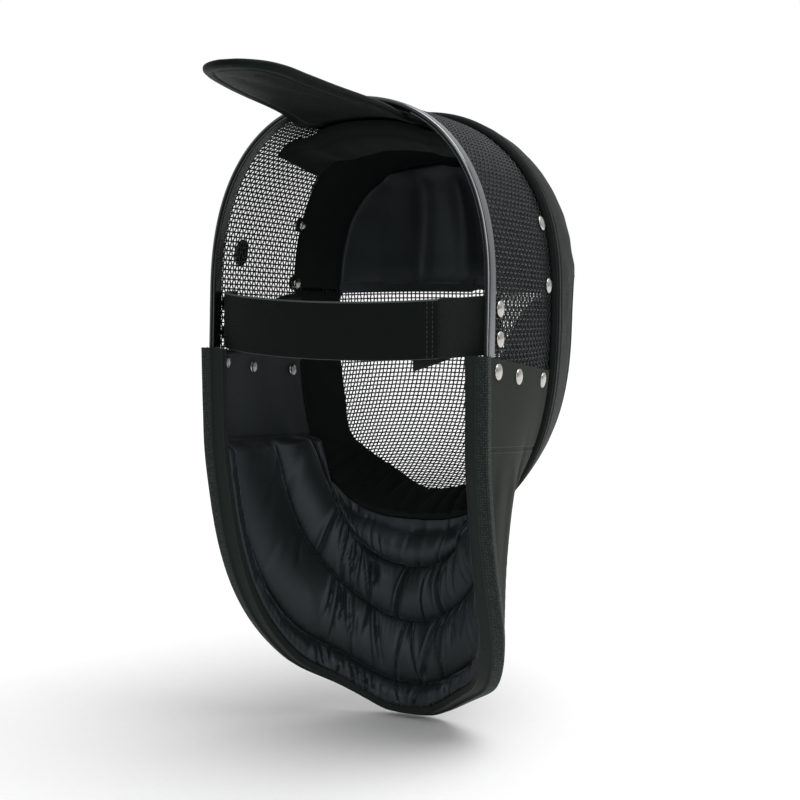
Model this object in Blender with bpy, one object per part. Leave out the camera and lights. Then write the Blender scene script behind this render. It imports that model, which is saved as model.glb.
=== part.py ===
"""Fencing coach's mask with a throat bib and a spring tongue.

Metres, +Z up, the face looks along -Y and +X is the wearer's left.  The origin
is the seat of the head: the middle of the crown pad's underside.

Inside the script the mask is laid out with three lengths: x to the wearer's
left, `forward` from the plane of the rear rim towards the face, and `height`
above the line where the rim's arch springs from its straight legs.
"""
import math

import bmesh
import bpy
from mathutils import Vector

# ----------------------------------------------------------------- driving sizes
# Wire shell: a bowl whose upright cross-sections are superellipses.
HALF_WIDTH = 0.100          # at the rim
ARCH_HEIGHT = 0.125         # spring line to the top of the rim's arch
CHIN_DEPTH = 0.168          # spring line to the underside of the chin
DEPTH = 0.228               # rim plane to the foremost point
WIDTH_POWER = 3.25          # how square the bowl is from above,
TOP_POWER = 3.90            # along its crown,
LOW_POWER = 2.18            # and along its chin
ARCH_SQUARE = 2.35          # squareness of the cross-section above the spring line
JAW_SQUARE = 2.70           # and below it
LEG_SQUARE = 3.00           # added at the rim, whose legs are straight,
LEG_REACH = 0.0975          # and fading out this far forward
NOSE_DROP = 0.055           # fall of the sections per metre forward
RIM_LEAN = 0.042            # forward lean of the rim per metre of height
SHELL_WALL = 0.0016
SHELL_COLUMNS = 48          # round a full section
LEG_COLUMNS = 3             # columns below the spring line that reach the rim
BAND_ROWS = 4               # rows from the rim to the full dome
DOME_START = 0.1065         # where the full dome begins, just ahead of the bib's seam
DOME_ROWS = 8               # rows from there to the nose
NOSE_ROW = 0.9997           # share of the depth at which the last small ring lies
CLEARANCE = 0.0007          # between faceted surfaces that follow each other

# Rim: a folded steel channel over the shell's rear edge.
RIM_LEG = 0.0060            # how far the channel reaches forward
RIM_BACK = 0.0030           # how far it stands behind the shell's edge
RIM_SHEET = 0.0009
RIM_GAP = 0.0005
RIM_END = -7.0              # angle of its ends, above the bib's cloth
RIM_STEPS = 36

# Padded front cover and its face window.
COVER_REAR_SIDE = 0.1095
COVER_REAR_TOP = 0.0985
COVER_THICKNESS = 0.0045
COVER_EDGE = 0.0020
WINDOW_EDGE = (
    # angle below the spring line, forward place of the edge
    (-8.0, 0.1570),
    (-28.0, 0.1540),
    (-40.0, 0.1480),
    (-56.0, 0.1550),
    (-73.0, 0.1556),
    (-90.0, 0.1430),
)
WINDOW_TOP = 0.008          # height of its level upper edge
WINDOW_ROUND = 0.018        # radius of its upper corners
WINDOW_CORNER = (25.0, 50.0, 75.0)
WINDOW_TURN = 8.0           # where the corners begin, in degrees below the spring line
WINDOW_ROUND_STEPS = 24
WINDOW_TOP_STEPS = 10
WINDOW_CENTRE = -0.066
WINDOW_EYE = 0.060          # forward place of the cutting cone's point
WINDOW_REACH = 1.5          # the cone's length, in distances from its point to the shell

# Pads inside the shell.
CROWN_REAR = 0.016
CROWN_FRONT = 0.0980
CROWN_ARC = 43.0            # degrees each side of the top
CROWN_THICKNESS = 0.015
CROWN_EDGE = 0.007
TONGUE_ROOM = 0.0086        # depth left for the tongue above the crown pad
TONGUE_ROOM_ARC = 24.0      # degrees each side of the top with all of that depth,
TONGUE_ROOM_SLOPE = 16.0    # and the degrees over which it then fades out
SEAT_FORWARD = 0.045        # the origin's place on the crown pad
BROW_SECTIONS = (
    # height, half_angle in degrees about the upright axis, thickness
    (-0.004, 44.0, 0.0040),
    (0.004, 44.0, 0.0110),
    (0.030, 43.0, 0.0150),
    (0.060, 38.8, 0.0150),
    (0.080, 31.0, 0.0130),
    (0.091, 21.5, 0.0090),
    (0.0955, 9.0, 0.0050),
)
BROW_AXIS = 0.060           # forward place of that axis
BROW_CLEARANCE = 0.0015     # from the shell, whose facets are deepest there
BROW_FOLDS = 7              # upright folds across the brow pad
BROW_FOLD_DEPTH = 0.0030
TEMPLE_REAR = 0.0995
TEMPLE_FRONT = (
    # angle above the spring line, forward place beside the brow pad
    (0.0, 0.1500),
    (36.0, 0.1500),
    (50.0, 0.1575),
    (66.0, 0.1615),
)
TEMPLE_ANGLES = (3.0, 66.0)
TEMPLE_THICKNESS = 0.0030
CHIN_REAR = 0.1080
CHIN_INSET = 0.0035         # from its front edge to the window's edge
CHIN_ANGLE = 2.0            # the pad's upper ends, under the temple pads
CHIN_THICKNESS = 0.0080
CHIN_GATHER = 0.0020        # depth of the folds between its gathers
PAD_EDGE = 0.0022
PAD_ROUND = 0.6             # power of a pad's cross-section: the lower, the squarer
TEMPLE_COLUMNS = 6
TEMPLE_ROWS = 4
CHIN_COLUMNS = 24
CHIN_ROWS = 4

# Tongue: a leather-covered spring strip, rooted above the crown pad.
TONGUE_SECTIONS = (
    # forward, centre_height, half_width, share of the arch's curve
    (0.058, 0.1190, 0.0400, 1.00),
    (0.030, 0.1202, 0.0425, 1.00),
    (0.003, 0.1207, 0.0405, 1.00),
    (-0.012, 0.1214, 0.0385, 0.56),
    (-0.040, 0.1232, 0.0355, 0.14),
    (-0.070, 0.1263, 0.0330, 0.04),
    (-0.100, 0.1303, 0.0303, 0.00),
    (-0.122, 0.1338, 0.0267, 0.00),
    (-0.134, 0.1354, 0.0208, 0.00),
    (-0.141, 0.1363, 0.0101, 0.00),
)
TONGUE_THICKNESS = 0.0058
TONGUE_EDGE = 0.0024
TONGUE_COLUMNS = 8

# Bib: horizontal sections are superellipses, from the rivets down to the hem.
BIB_SECTIONS = (
    # height, half_width, depth, squareness, rear end behind the rim
    (-0.030, 0.1010, 0.122, 5.0, -0.0060),
    (-0.085, 0.1005, 0.118, 3.6, -0.0045),
    (-0.125, 0.0992, 0.111, 2.7, -0.0035),
    (-0.170, 0.0985, 0.108, 2.3, -0.0045),
    (-0.230, 0.0985, 0.108, 2.1, -0.0055),
    (-0.300, 0.0960, 0.107, 2.0, -0.0060),
)
BIB_REAR = -0.006           # rear end of its upper edge
BIB_FRONT = 0.1055          # seam to the shell, just behind the cover
BIB_TOP = -0.0375           # upper edge of the cloth at the rim
BIB_TOP_FALL = 0.14         # its fall per metre forward
BIB_SEAM = -0.088           # level seam where the U channels begin
BIB_HEM = -0.2895           # lowest point, at the front centre
BIB_LENGTH = 0.165          # flat width from the front centre to a rear edge
BIB_SEAM_LENGTH = 0.052     # the same to the seam on the shell
BIB_ROUND = 1.92            # squareness of the hem's outline in the flat
HEM_LIFT = 0.0055           # the hem is cut up by this
HEM_LIFT_PLACE = 0.055      # at this distance from the front centre
HEM_LIFT_REACH = 0.040      # and over this distance each way
BIB_ON_SHELL = (-0.080, -0.125)   # above the first height the cloth follows the shell
BIB_LEG_STEPS = 3           # grid steps from the top edge down to the level seam
BIB_ARC_STEPS = 15          # and round to the front centre
SECTION_STEPS = 24          # chords used to measure along one section of the cloth
BIB_FREE = 0.40             # share of the width by which the cloth hangs free of the shell
OUTER_ROWS = 5              # rows of the outer cloth from the shell to the hem
CLOTH = 0.0018
CLOTH_GAP = 0.0005
CHANNELS = (
    # quilt lines: share of the cloth's width at the level seam, at the front centre
    (0.000, 0.000),
    (0.100, 0.247),
    (0.461, 0.538),
    (0.884, 0.872),
    (1.000, 1.000),
)
LINING_THIN = 0.0030        # at a quilt line
LINING_PUFF = 0.0100        # between two of them
LINING_HEM = 0.0080         # at the hem, under the binding
LINING_BETWEEN = 2          # rows from one quilt line to the next
LINING_TOP = -0.0385        # upper edge at the rim,
LINING_FLAT = 0.0280        # level as far forward as this,
LINING_TOP_RISE = 0.0355    # then rising by this towards the shell,
LINING_TOP_BEND = 2.5       # steeply at first
BORDER_OUT = 0.0032         # the border's reach beyond the cloth's base surface
BORDER_IN = 0.0130
BORDER_DEPTH = 0.0050
BORDER_BEVEL = 0.0015
BORDER_GAP = 0.0006

# Strap across the opening.
STRAP_HEIGHT = 0.0370
STRAP_CENTRE = -0.0178
STRAP_THICKNESS = 0.0020
STRAP_END = 0.014           # forward place where its curve begins
STRAP_LAP = 0.010           # straight lap on the wall beyond that
STRAP_BULGE = 0.034
STRAP_SAG = 0.0045
STRAP_STOP = -46.0          # where the strap ends on the wearer's right, in degrees
STRAP_SWING = 30.0          # degrees over which it comes to lie behind the anchor
ANCHOR_STOP = -34.0
TAIL_SPAN = (-54.0, -34.0)
TAIL_DROP = 0.0075

# Rivets: one row for each, made on both sides.
RIVETS = (
    # name, forward, height, outer seat and inner seat from the shell's outer face
    ("bib_rivet_rear", 0.0080, -0.0467, 0.0023, -0.0053),
    ("bib_rivet_middle", 0.0420, -0.0519, 0.0023, -0.0053),
    ("bib_rivet_front", 0.0905, -0.0573, 0.0023, -0.0057),
    ("strap_rivet_upper", 0.0160, -0.0080, 0.0000, -0.0049),
    ("strap_rivet_lower", 0.0160, -0.0270, 0.0000, -0.0049),
    ("cover_rivet_upper", 0.1035, 0.0460, 0.0003, -0.0053),
    ("cover_rivet_lower", 0.1035, 0.0045, 0.0003, -0.0053),
)
RIVET_HEAD = 0.0053         # radius
RIVET_DOME = 0.0016
RIVET_CROWN = 0.65          # shares of the head's radius and dome where it turns down
RIVET_CROWN_RISE = 0.75
RIVET_SEAT = 0.0003
RIVET_SHANK = 0.0018
RIVET_HOLE = 0.0022
RIVET_SIDES = 8
DRILL_REACH = (0.010, -0.012)       # a rivet hole's cutter, from the shell's outer face

# Oval patch on the mesh on the wearer's left.
PATCH_FORWARD = 0.0356
PATCH_HEIGHT = 0.0262
PATCH_HALF_LENGTH = 0.0080
PATCH_HALF_HEIGHT = 0.0090
PATCH_THICKNESS = 0.0010
PATCH_SIDES = 14

SHARP_ANGLE = 40.0          # edges that turn by more degrees are drawn sharp

LEATHER = (0.013, 0.013, 0.014)
WIRE = (0.020, 0.020, 0.021)
STEEL = (0.090, 0.092, 0.096)
NICKEL = (0.620, 0.615, 0.600)
SATIN = (0.014, 0.015, 0.017)
HEAVY_CLOTH = (0.018, 0.018, 0.020)
ELASTIC = (0.012, 0.012, 0.013)


# ------------------------------------------------------------------- the surface
def superellipse(fraction, power):
    """Remaining radius of a superellipse at a fraction of its other axis."""
    fraction = min(max(fraction, 0.0), 1.0)
    return (1.0 - fraction ** power) ** (1.0 / power)


def smooth(value):
    """Smooth step from 0 to 1."""
    value = min(max(value, 0.0), 1.0)
    return value * value * (3.0 - 2.0 * value)


def mix(first, second, share):
    return first + (second - first) * share


def read_table(rows, value):
    """Row of a table, interpolated on its first column, which may fall or rise."""
    rows = sorted(rows)
    value = min(max(value, rows[0][0]), rows[-1][0])
    for low, high in zip(rows, rows[1:]):
        if value <= high[0]:
            share = (value - low[0]) / (high[0] - low[0])
            return [mix(a, b, share) for a, b in zip(low[1:], high[1:])]
    return list(rows[-1][1:])


def section(forward):
    """Half width, top, bottom and low squareness of one upright cross-section."""
    along = forward / DEPTH
    width = HALF_WIDTH * superellipse(along, WIDTH_POWER)
    top = ARCH_HEIGHT * superellipse(along, TOP_POWER)
    low = CHIN_DEPTH * superellipse(along, LOW_POWER)
    near_rim = min(max(1.0 - forward / LEG_REACH, 0.0), 1.0)
    return width, top, low, JAW_SQUARE + LEG_SQUARE * near_rim ** 1.5


def lean(forward, rise):
    """Forward distance after the rim's lean, which fades out at the nose."""
    return forward + RIM_LEAN * rise * (1.0 - forward / DEPTH)


def surface(angle, forward):
    """Layout point of the shell's outer face; angle in degrees from +x over the top."""
    width, top, low, jaw = section(forward)
    turn = math.radians(angle)
    side = math.cos(turn)
    if math.sin(turn) >= 0.0:
        share = math.sin(turn) ** (2.0 / ARCH_SQUARE)
        rise = top * share
        x = width * superellipse(share, ARCH_SQUARE)
    else:
        share = (-math.sin(turn)) ** (2.0 / JAW_SQUARE)
        rise = -low * share
        x = width * superellipse(share, jaw)
    if abs(side) < 1e-9:
        x = 0.0
    return Vector((math.copysign(x, side), lean(forward, rise), rise - NOSE_DROP * forward))


def wall_point(forward, height):
    """Layout point of the shell's outer face on the wearer's left."""
    width, top, low, jaw = section(forward)
    rise = height + NOSE_DROP * forward
    if rise >= 0.0:
        x = width * superellipse(rise / top, ARCH_SQUARE)
    else:
        x = width * superellipse(-rise / low, jaw)
    return Vector((x, lean(forward, rise), height))


def unlean(distance, height):
    """The cross-section that reaches a forward distance at a height."""
    forward = distance
    for _ in range(3):
        pull = RIM_LEAN * (height + NOSE_DROP * forward)
        forward = (distance - pull) / (1.0 - pull / DEPTH)
    return forward


def level(point):
    """Negative inside the shell's outer face and positive outside it."""
    forward = unlean(point[1], point[2])
    if forward >= DEPTH * 0.9999:
        return 1.0
    width, top, low, jaw = section(forward)
    rise = point[2] + NOSE_DROP * forward
    if rise >= 0.0:
        return (abs(point[0]) / width) ** ARCH_SQUARE + (rise / top) ** ARCH_SQUARE - 1.0
    return (abs(point[0]) / width) ** jaw + (-rise / low) ** jaw - 1.0


def outward(point):
    """Unit normal of the shell's outer face near a layout point."""
    step = 0.0004
    slope = []
    for axis in range(3):
        shift = Vector((0.0, 0.0, 0.0))
        shift[axis] = step
        slope.append(level(point + shift) - level(point - shift))
    return Vector(slope).normalized()


def offset(point, distance):
    """Point at a distance outward of the shell's outer face."""
    return point + outward(point) * distance


def cast(start, direction):
    """Where a ray from inside meets the shell's outer face."""
    near, far = 0.0, 0.40
    for _ in range(36):
        middle = 0.5 * (near + far)
        if level(start + direction * middle) > 0.0:
            far = middle
        else:
            near = middle
    return start + direction * near


INSIDE = -(SHELL_WALL + CLEARANCE)      # where linings start, from the outer face
PLAIN_LINES = ((0.0, 0.0), (1.0, 1.0))  # the bib from the shell to the hem, unquilted


def crown_rest(angle):
    """Depth of the crown pad's upper face, which leaves room for the tongue."""
    past = abs(angle - 90.0) - TONGUE_ROOM_ARC
    return INSIDE - TONGUE_ROOM * (1.0 - smooth(past / TONGUE_ROOM_SLOPE))


def seat_height():
    """Height of the middle of the crown pad's underside, which is the origin."""
    top = surface(90.0, SEAT_FORWARD)
    return top[2] + crown_rest(90.0) - CROWN_THICKNESS


SEAT_HEIGHT = seat_height()
SEAT_PLACE = lean(SEAT_FORWARD, ARCH_HEIGHT)


def place(point):
    """World position of a layout point."""
    return Vector((point[0], SEAT_PLACE - point[1], point[2] - SEAT_HEIGHT))


# --------------------------------------------------------------- building solids
def material(name, colour, roughness, metallic=0.0):
    """A plain finish for one piece."""
    finish = bpy.data.materials.new(name)
    finish.use_nodes = True
    shader = finish.node_tree.nodes["Principled BSDF"]
    shader.inputs["Base Color"].default_value = (*colour, 1.0)
    shader.inputs["Roughness"].default_value = roughness
    shader.inputs["Metallic"].default_value = metallic
    return finish


def solid(name, points, faces, finish):
    """One closed body from layout points, with its faces turned outward."""
    mesh = bpy.data.meshes.new(name)
    mesh.from_pydata([place(point) for point in points], [], faces)
    shape = bmesh.new()
    shape.from_mesh(mesh)
    bmesh.ops.recalc_face_normals(shape, faces=shape.faces)
    if shape.calc_volume(signed=True) < 0.0:
        bmesh.ops.reverse_faces(shape, faces=shape.faces)
    shape.to_mesh(mesh)
    shape.free()
    mesh.shade_smooth()
    mesh.set_sharp_from_angle(angle=math.radians(SHARP_ANGLE))
    mesh.materials.append(finish)
    piece = bpy.data.objects.new(name, mesh)
    bpy.context.scene.collection.objects.link(piece)
    return piece


def grid_cells(rows, columns, wrap=False):
    """Cells of a grid whose points are listed row by row."""
    last = columns if wrap else columns - 1
    cells = []
    for row in range(rows - 1):
        for column in range(last):
            after = (column + 1) % columns
            here, above = row * columns, (row + 1) * columns
            cells.append((here + column, here + after, above + after, above + column))
    return cells


def thick_sheet(name, outer, inner, cells, finish):
    """Close the space between two layers of points that share their cells."""
    count = len(outer)
    faces = list(cells)
    faces += [tuple(count + index for index in reversed(cell)) for cell in cells]
    sides = {(a, b) for cell in cells for a, b in zip(cell, cell[1:] + cell[:1])}
    faces += [(b, a, count + a, count + b) for a, b in sides if (b, a) not in sides]
    return solid(name, list(outer) + list(inner), faces, finish)


def sweep(name, sections, finish):
    """A closed body through equal rings of points, with flat ends."""
    size = len(sections[0])
    points = [point for ring in sections for point in ring]
    faces = []
    for step in range(len(sections) - 1):
        for index in range(size):
            after = (index + 1) % size
            here, there = step * size, (step + 1) * size
            faces.append((here + index, here + after, there + after, there + index))
    faces.append(tuple(range(size)))
    faces.append(tuple(range(len(points) - 1, len(points) - 1 - size, -1)))
    return solid(name, points, faces, finish)


def steps(first, last, count):
    """Evenly spaced values, both ends included."""
    return [mix(first, last, index / count) for index in range(count + 1)]


# ------------------------------------------------------------------------- shell
def dome_rows():
    """Forward places of the shell's rows from the bib's seam to near the nose."""
    start = math.asin((DOME_START / DEPTH) ** 1.5)
    turns = steps(start, math.radians(90.0), DOME_ROWS)[:-1]
    return [DEPTH * math.sin(turn) ** (2.0 / 3.0) for turn in turns] + [DEPTH * NOSE_ROW]


def shell_angles():
    """Column angles round a full section, from the lowest column that reaches the rim."""
    pitch = 360.0 / SHELL_COLUMNS
    return [pitch * (index - LEG_COLUMNS) for index in range(SHELL_COLUMNS)]


def mesh_shell(finish):
    """The wire bowl: an arched band from the rim and a closed dome in front of it."""
    angles = shell_angles()
    reach = SHELL_COLUMNS // 2 + 2 * LEG_COLUMNS + 1
    band = steps(0.0, DOME_START, BAND_ROWS)[:-1]
    outer = [surface(angle, forward) for forward in band for angle in angles[:reach]]
    cells = grid_cells(BAND_ROWS, reach)
    first = len(outer)
    rows = dome_rows()
    outer += [surface(angle, forward) for forward in rows for angle in angles]
    cells += [
        (first - reach + index, first - reach + index + 1, first + index + 1, first + index)
        for index in range(reach - 1)
    ]
    dome = grid_cells(len(rows), SHELL_COLUMNS, wrap=True)
    cells += [tuple(first + index for index in cell) for cell in dome]
    inner = [offset(point, -SHELL_WALL) for point in outer]
    cells += close_nose(outer, inner, 0.0, -SHELL_WALL)
    return thick_sheet("mesh_shell", outer, inner, cells, finish)


def close_nose(outer, inner, depth_out, depth_in):
    """Add the foremost point to both layers and return the cells round it."""
    nose = Vector((0.0, DEPTH, -NOSE_DROP * DEPTH))
    last, tip = len(outer) - SHELL_COLUMNS, len(outer)
    outer.append(nose + Vector((0.0, depth_out, 0.0)))
    inner.append(nose + Vector((0.0, depth_in, 0.0)))
    return [(last + index, last + (index + 1) % SHELL_COLUMNS, tip) for index in range(SHELL_COLUMNS)]


def rim_trim(finish):
    """The steel channel over the rear arch, ending where the bib's cloth begins."""
    reach_out = RIM_GAP + RIM_SHEET
    reach_in = -SHELL_WALL - RIM_GAP - RIM_SHEET
    profile = (
        (RIM_GAP, RIM_LEG),
        (reach_out, RIM_LEG),
        (reach_out, RIM_SHEET - RIM_BACK),
        (RIM_GAP, -RIM_BACK),
        (-SHELL_WALL - RIM_GAP, -RIM_BACK),
        (reach_in, RIM_SHEET - RIM_BACK),
        (reach_in, RIM_LEG),
        (-SHELL_WALL - RIM_GAP, RIM_LEG),
        (-SHELL_WALL - RIM_GAP, -RIM_GAP),
        (RIM_GAP, -RIM_GAP),
    )
    rings = []
    for angle in steps(RIM_END, 180.0 - RIM_END, RIM_STEPS):
        edge = surface(angle, 0.0)
        out = outward(edge)
        along = surface(angle + 0.5, 0.0) - surface(angle - 0.5, 0.0)
        ahead = along.cross(out).normalized()
        if ahead[1] < 0.0:
            ahead = -ahead
        rings.append([edge + out * aside + ahead * front for aside, front in profile])
    return sweep("rim_trim", rings, finish)


def window_edge(angle):
    """Forward place of the window's edge below the spring line, alike on both sides."""
    return read_table(WINDOW_EDGE, abs(angle + 90.0) - 90.0)[0]


def window_outline():
    """The face window's edge on the shell: round the face, level on top."""
    rear = window_edge(0.0)
    low = surface(0.0, rear)[2] - WINDOW_ROUND
    points = [surface(angle, window_edge(angle))
              for angle in steps(-180.0 + WINDOW_TURN, -WINDOW_TURN, WINDOW_ROUND_STEPS)]
    corners = []
    for angle in WINDOW_CORNER:
        turn = math.radians(angle)
        height = mix(low, WINDOW_TOP, math.sin(turn))
        distance = rear + WINDOW_ROUND * (1.0 - math.cos(turn))
        corners.append(wall_point(unlean(distance, height), height))
    points += corners
    side = corners[-1][0] - WINDOW_ROUND
    for x in steps(side, -side, WINDOW_TOP_STEPS):
        points.append(cast(Vector((x, WINDOW_EYE, WINDOW_TOP)), Vector((0.0, 1.0, 0.0))))
    return points + [mirrored(point, -1.0) for point in reversed(corners)]


def window_cutter():
    """Two cones set base to base, the inner one through the face window's edge."""
    eye = Vector((0.0, WINDOW_EYE, WINDOW_CENTRE))
    ring = [eye + (point - eye) * WINDOW_REACH for point in window_outline()]
    points = [eye, *ring, eye + Vector((0.0, WINDOW_REACH * DEPTH, 0.0))]
    faces = []
    for index in range(len(ring)):
        here, after = 1 + index, 1 + (index + 1) % len(ring)
        faces.append((0, here, after))
        faces.append((len(ring) + 1, after, here))
    return hide(solid("window_cutter", points, faces, None))


def hide(cutter):
    """Keep a cutting body out of the model."""
    cutter.hide_render = True
    cutter.display_type = "WIRE"
    return cutter


def cut(piece, cutter):
    """Take a cutting body out of a piece."""
    step = piece.modifiers.new("cut_" + cutter.name, "BOOLEAN")
    step.operation = "DIFFERENCE"
    step.solver = "EXACT"
    step.object = cutter


def cover_rear(angle):
    """Forward place of the cover's rear edge, which comes back over the crown."""
    share = smooth(max(math.sin(math.radians(angle)), 0.0) ** 2)
    return mix(COVER_REAR_SIDE, COVER_REAR_TOP, share)


def front_cover(finish):
    """The padded leather over brow, temples, cheeks and chin."""
    angles = shell_angles()
    rows = dome_rows()
    inner, outer = [], []
    for number, forward in enumerate(rows):
        for angle in angles:
            here = cover_rear(angle) if number == 0 else forward
            base = surface(angle, here)
            thick = COVER_EDGE if number == 0 else COVER_THICKNESS
            inner.append(offset(base, CLEARANCE))
            outer.append(offset(base, CLEARANCE + thick))
    cells = grid_cells(len(rows), SHELL_COLUMNS, wrap=True)
    cells += close_nose(outer, inner, CLEARANCE + COVER_THICKNESS, CLEARANCE)
    return thick_sheet("front_cover", outer, inner, cells, finish)


# -------------------------------------------------------------------------- pads
def pad(name, bases, rows, columns, depth, thickness, finish):
    """A padded lining: `depth` and `thickness` give its two faces at (row, column)."""
    outer, inner = [], []
    for index, base in enumerate(bases):
        row, column = divmod(index, columns)
        rest = depth(row, column)
        outer.append(offset(base, rest))
        inner.append(offset(base, rest - thickness(row, column)))
    return thick_sheet(name, outer, inner, grid_cells(rows, columns), finish)


def pillow(share):
    """0 at both edges of a pad and 1 over most of its width."""
    return min(1.0, 4.0 * share * (1.0 - share)) ** PAD_ROUND


def crown_pad(finish):
    """The transverse band inside the crown."""
    rows, columns = 7, 15
    forwards = steps(CROWN_REAR, CROWN_FRONT, rows - 1)
    angles = steps(90.0 - CROWN_ARC, 90.0 + CROWN_ARC, columns - 1)
    bases = [surface(angle, forward) for forward in forwards for angle in angles]

    def thickness(row, column):
        across = pillow(column / (columns - 1))
        along = 1.0 if 0 < row < rows - 1 else 0.0
        edge = mix(PAD_EDGE, CROWN_EDGE, across)
        return mix(edge, mix(CROWN_EDGE, CROWN_THICKNESS, across), along)

    return pad("crown_pad", bases, rows, columns,
               lambda row, column: crown_rest(angles[column]), thickness, finish)


def brow_pad(finish):
    """The forehead panel with its upright folds."""
    columns = 2 * BROW_FOLDS + 7
    bases = []
    for height, half_angle, thick in BROW_SECTIONS:
        for bearing in steps(-half_angle, half_angle, columns - 1):
            turn = math.radians(bearing)
            axis = Vector((0.0, BROW_AXIS, height))
            bases.append(cast(axis, Vector((math.sin(turn), math.cos(turn), 0.0))))

    def thickness(row, column):
        full = BROW_SECTIONS[row][2]
        across = pillow(column / (columns - 1))
        fold = BROW_FOLD_DEPTH if column % 2 and 0 < row < len(BROW_SECTIONS) - 1 else 0.0
        return max(mix(PAD_EDGE, full, across) - fold * across, PAD_EDGE)

    return pad("brow_pad", bases, len(BROW_SECTIONS), columns,
               lambda row, column: -SHELL_WALL - BROW_CLEARANCE, thickness, finish)


def side_pad(name, angles, rows, reach, thick, gathers, finish):
    """A lining behind the cover; `reach` gives its forward places at an angle."""
    columns = len(angles)
    bases = [surface(angle, mix(*reach(angle), share))
             for share in steps(0.0, 1.0, rows - 1) for angle in angles]

    def thickness(row, column):
        along = pillow(row / (rows - 1))
        across = pillow(column / (columns - 1))
        dip = gathers if column % 2 else 0.0
        return max(mix(PAD_EDGE, thick, along * across) - dip * along * across, PAD_EDGE)

    return pad(name, bases, rows, columns, lambda row, column: INSIDE, thickness, finish)


def temple_reach(angle):
    """Rear and front of a temple pad at an angle."""
    side = min(angle, 180.0 - angle)
    return TEMPLE_REAR, read_table(TEMPLE_FRONT, side)[0]


def chin_reach(angle):
    """Rear and front of the chin pad at an angle."""
    return CHIN_REAR, window_edge(angle) - CHIN_INSET


def tongue(finish):
    """The leather-covered spring strip behind the crown."""
    outer, inner = [], []
    shares = steps(-1.0, 1.0, TONGUE_COLUMNS)
    for forward, height, half_width, curve in TONGUE_SECTIONS:
        for share in shares:
            x = half_width * share
            drop = ARCH_HEIGHT * (1.0 - superellipse(abs(x) / HALF_WIDTH, ARCH_SQUARE))
            thick = mix(TONGUE_EDGE, TONGUE_THICKNESS, 1.0 - share ** 4)
            top = Vector((x, forward, height - curve * drop))
            outer.append(top)
            inner.append(top - Vector((0.0, 0.0, thick)))
    cells = grid_cells(len(TONGUE_SECTIONS), len(shares))
    return thick_sheet("tongue", outer, inner, cells, finish)


# ----------------------------------------------------------------------- the bib
def flat_place(step, share, top):
    """Place on the flat cloth: distance from the front centre and height.

    `step` counts from the top edge at the side down to the front centre and
    `share` runs from the seam on the shell, 0, to the rear edge and hem, 1.
    """
    length = mix(BIB_SEAM_LENGTH, BIB_LENGTH, share)
    if step <= BIB_LEG_STEPS:
        forward = mix(BIB_FRONT, BIB_REAR, share)
        return length, mix(top(forward), BIB_SEAM, step / BIB_LEG_STEPS)
    turn = math.radians(90.0 * (step - BIB_LEG_STEPS) / BIB_ARC_STEPS)
    power = 2.0 / BIB_ROUND
    depth = mix(BIB_SEAM - chin_height(), BIB_SEAM - BIB_HEM, share)
    length *= math.cos(turn) ** power
    from_peak = (length - HEM_LIFT_PLACE) / HEM_LIFT_REACH
    lift = HEM_LIFT * share * max(1.0 - from_peak ** 2, 0.0) ** 2
    return length, BIB_SEAM - depth * math.sin(turn) ** power + lift


def chin_height():
    """Height at which the cloth meets the shell at the front centre."""
    width, top, low, jaw = section(BIB_FRONT)
    return -low - NOSE_DROP * BIB_FRONT - CLEARANCE


def curtain(length, height):
    """Layout point of the hanging cloth below the shell, on the wearer's left."""
    half_width, depth, square, rear = read_table(BIB_SECTIONS, height)
    outline = []
    for turn in steps(0.0, 0.5 * math.pi, SECTION_STEPS):
        x = half_width * math.sin(turn) ** (2.0 / square)
        forward = depth * max(math.cos(turn), 0.0) ** (2.0 / square)
        outline.append(Vector((x, rear + forward, height)))
    pieces = [(after - before).length for before, after in zip(outline, outline[1:])]
    left = min(length / BIB_LENGTH, 1.0) * sum(pieces)
    for before, after, piece in zip(outline, outline[1:], pieces):
        if left <= piece or after is outline[-1]:
            return before + (after - before) * (left / piece)
        left -= piece


def bib_base(step, share, top):
    """Layout point of the bib's base surface on the wearer's left."""
    length, height = flat_place(step, share, top)
    hanging = curtain(length, height)
    if share < BIB_FREE:
        seam_height = flat_place(step, 0.0, top)[1]
        seam = wall_point(BIB_FRONT, max(seam_height, chin_height() + CLEARANCE))
        free = curtain(*flat_place(step, BIB_FREE, top))
        taut = seam + (free - seam) * (share / BIB_FREE)
        taut[2] = height
        hanging = taut + (hanging - taut) * smooth(2.0 * share / BIB_FREE - 1.0)
    follow = smooth((height - BIB_ON_SHELL[1]) / (BIB_ON_SHELL[0] - BIB_ON_SHELL[1]))
    if follow <= 0.0:
        return hanging
    held = max(height, chin_height())
    rear = read_table(BIB_SECTIONS, height)[3]
    distance = mix(lean(BIB_FRONT, held + NOSE_DROP * BIB_FRONT), rear, share)
    on_shell = wall_point(unlean(distance, held), held)
    return hanging + (on_shell - hanging) * follow


def line_shares(lines, between, step):
    """Shares of the grid's rows at a step; each line swings from side to front."""
    arc = smooth(max(step - BIB_LEG_STEPS, 0) / BIB_ARC_STEPS)
    marks = [mix(side, front, arc) for side, front in lines]
    shares = marks[:1]
    for low, high in zip(marks, marks[1:]):
        shares += [mix(low, high, part / between) for part in range(1, between + 1)]
    return shares


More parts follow.
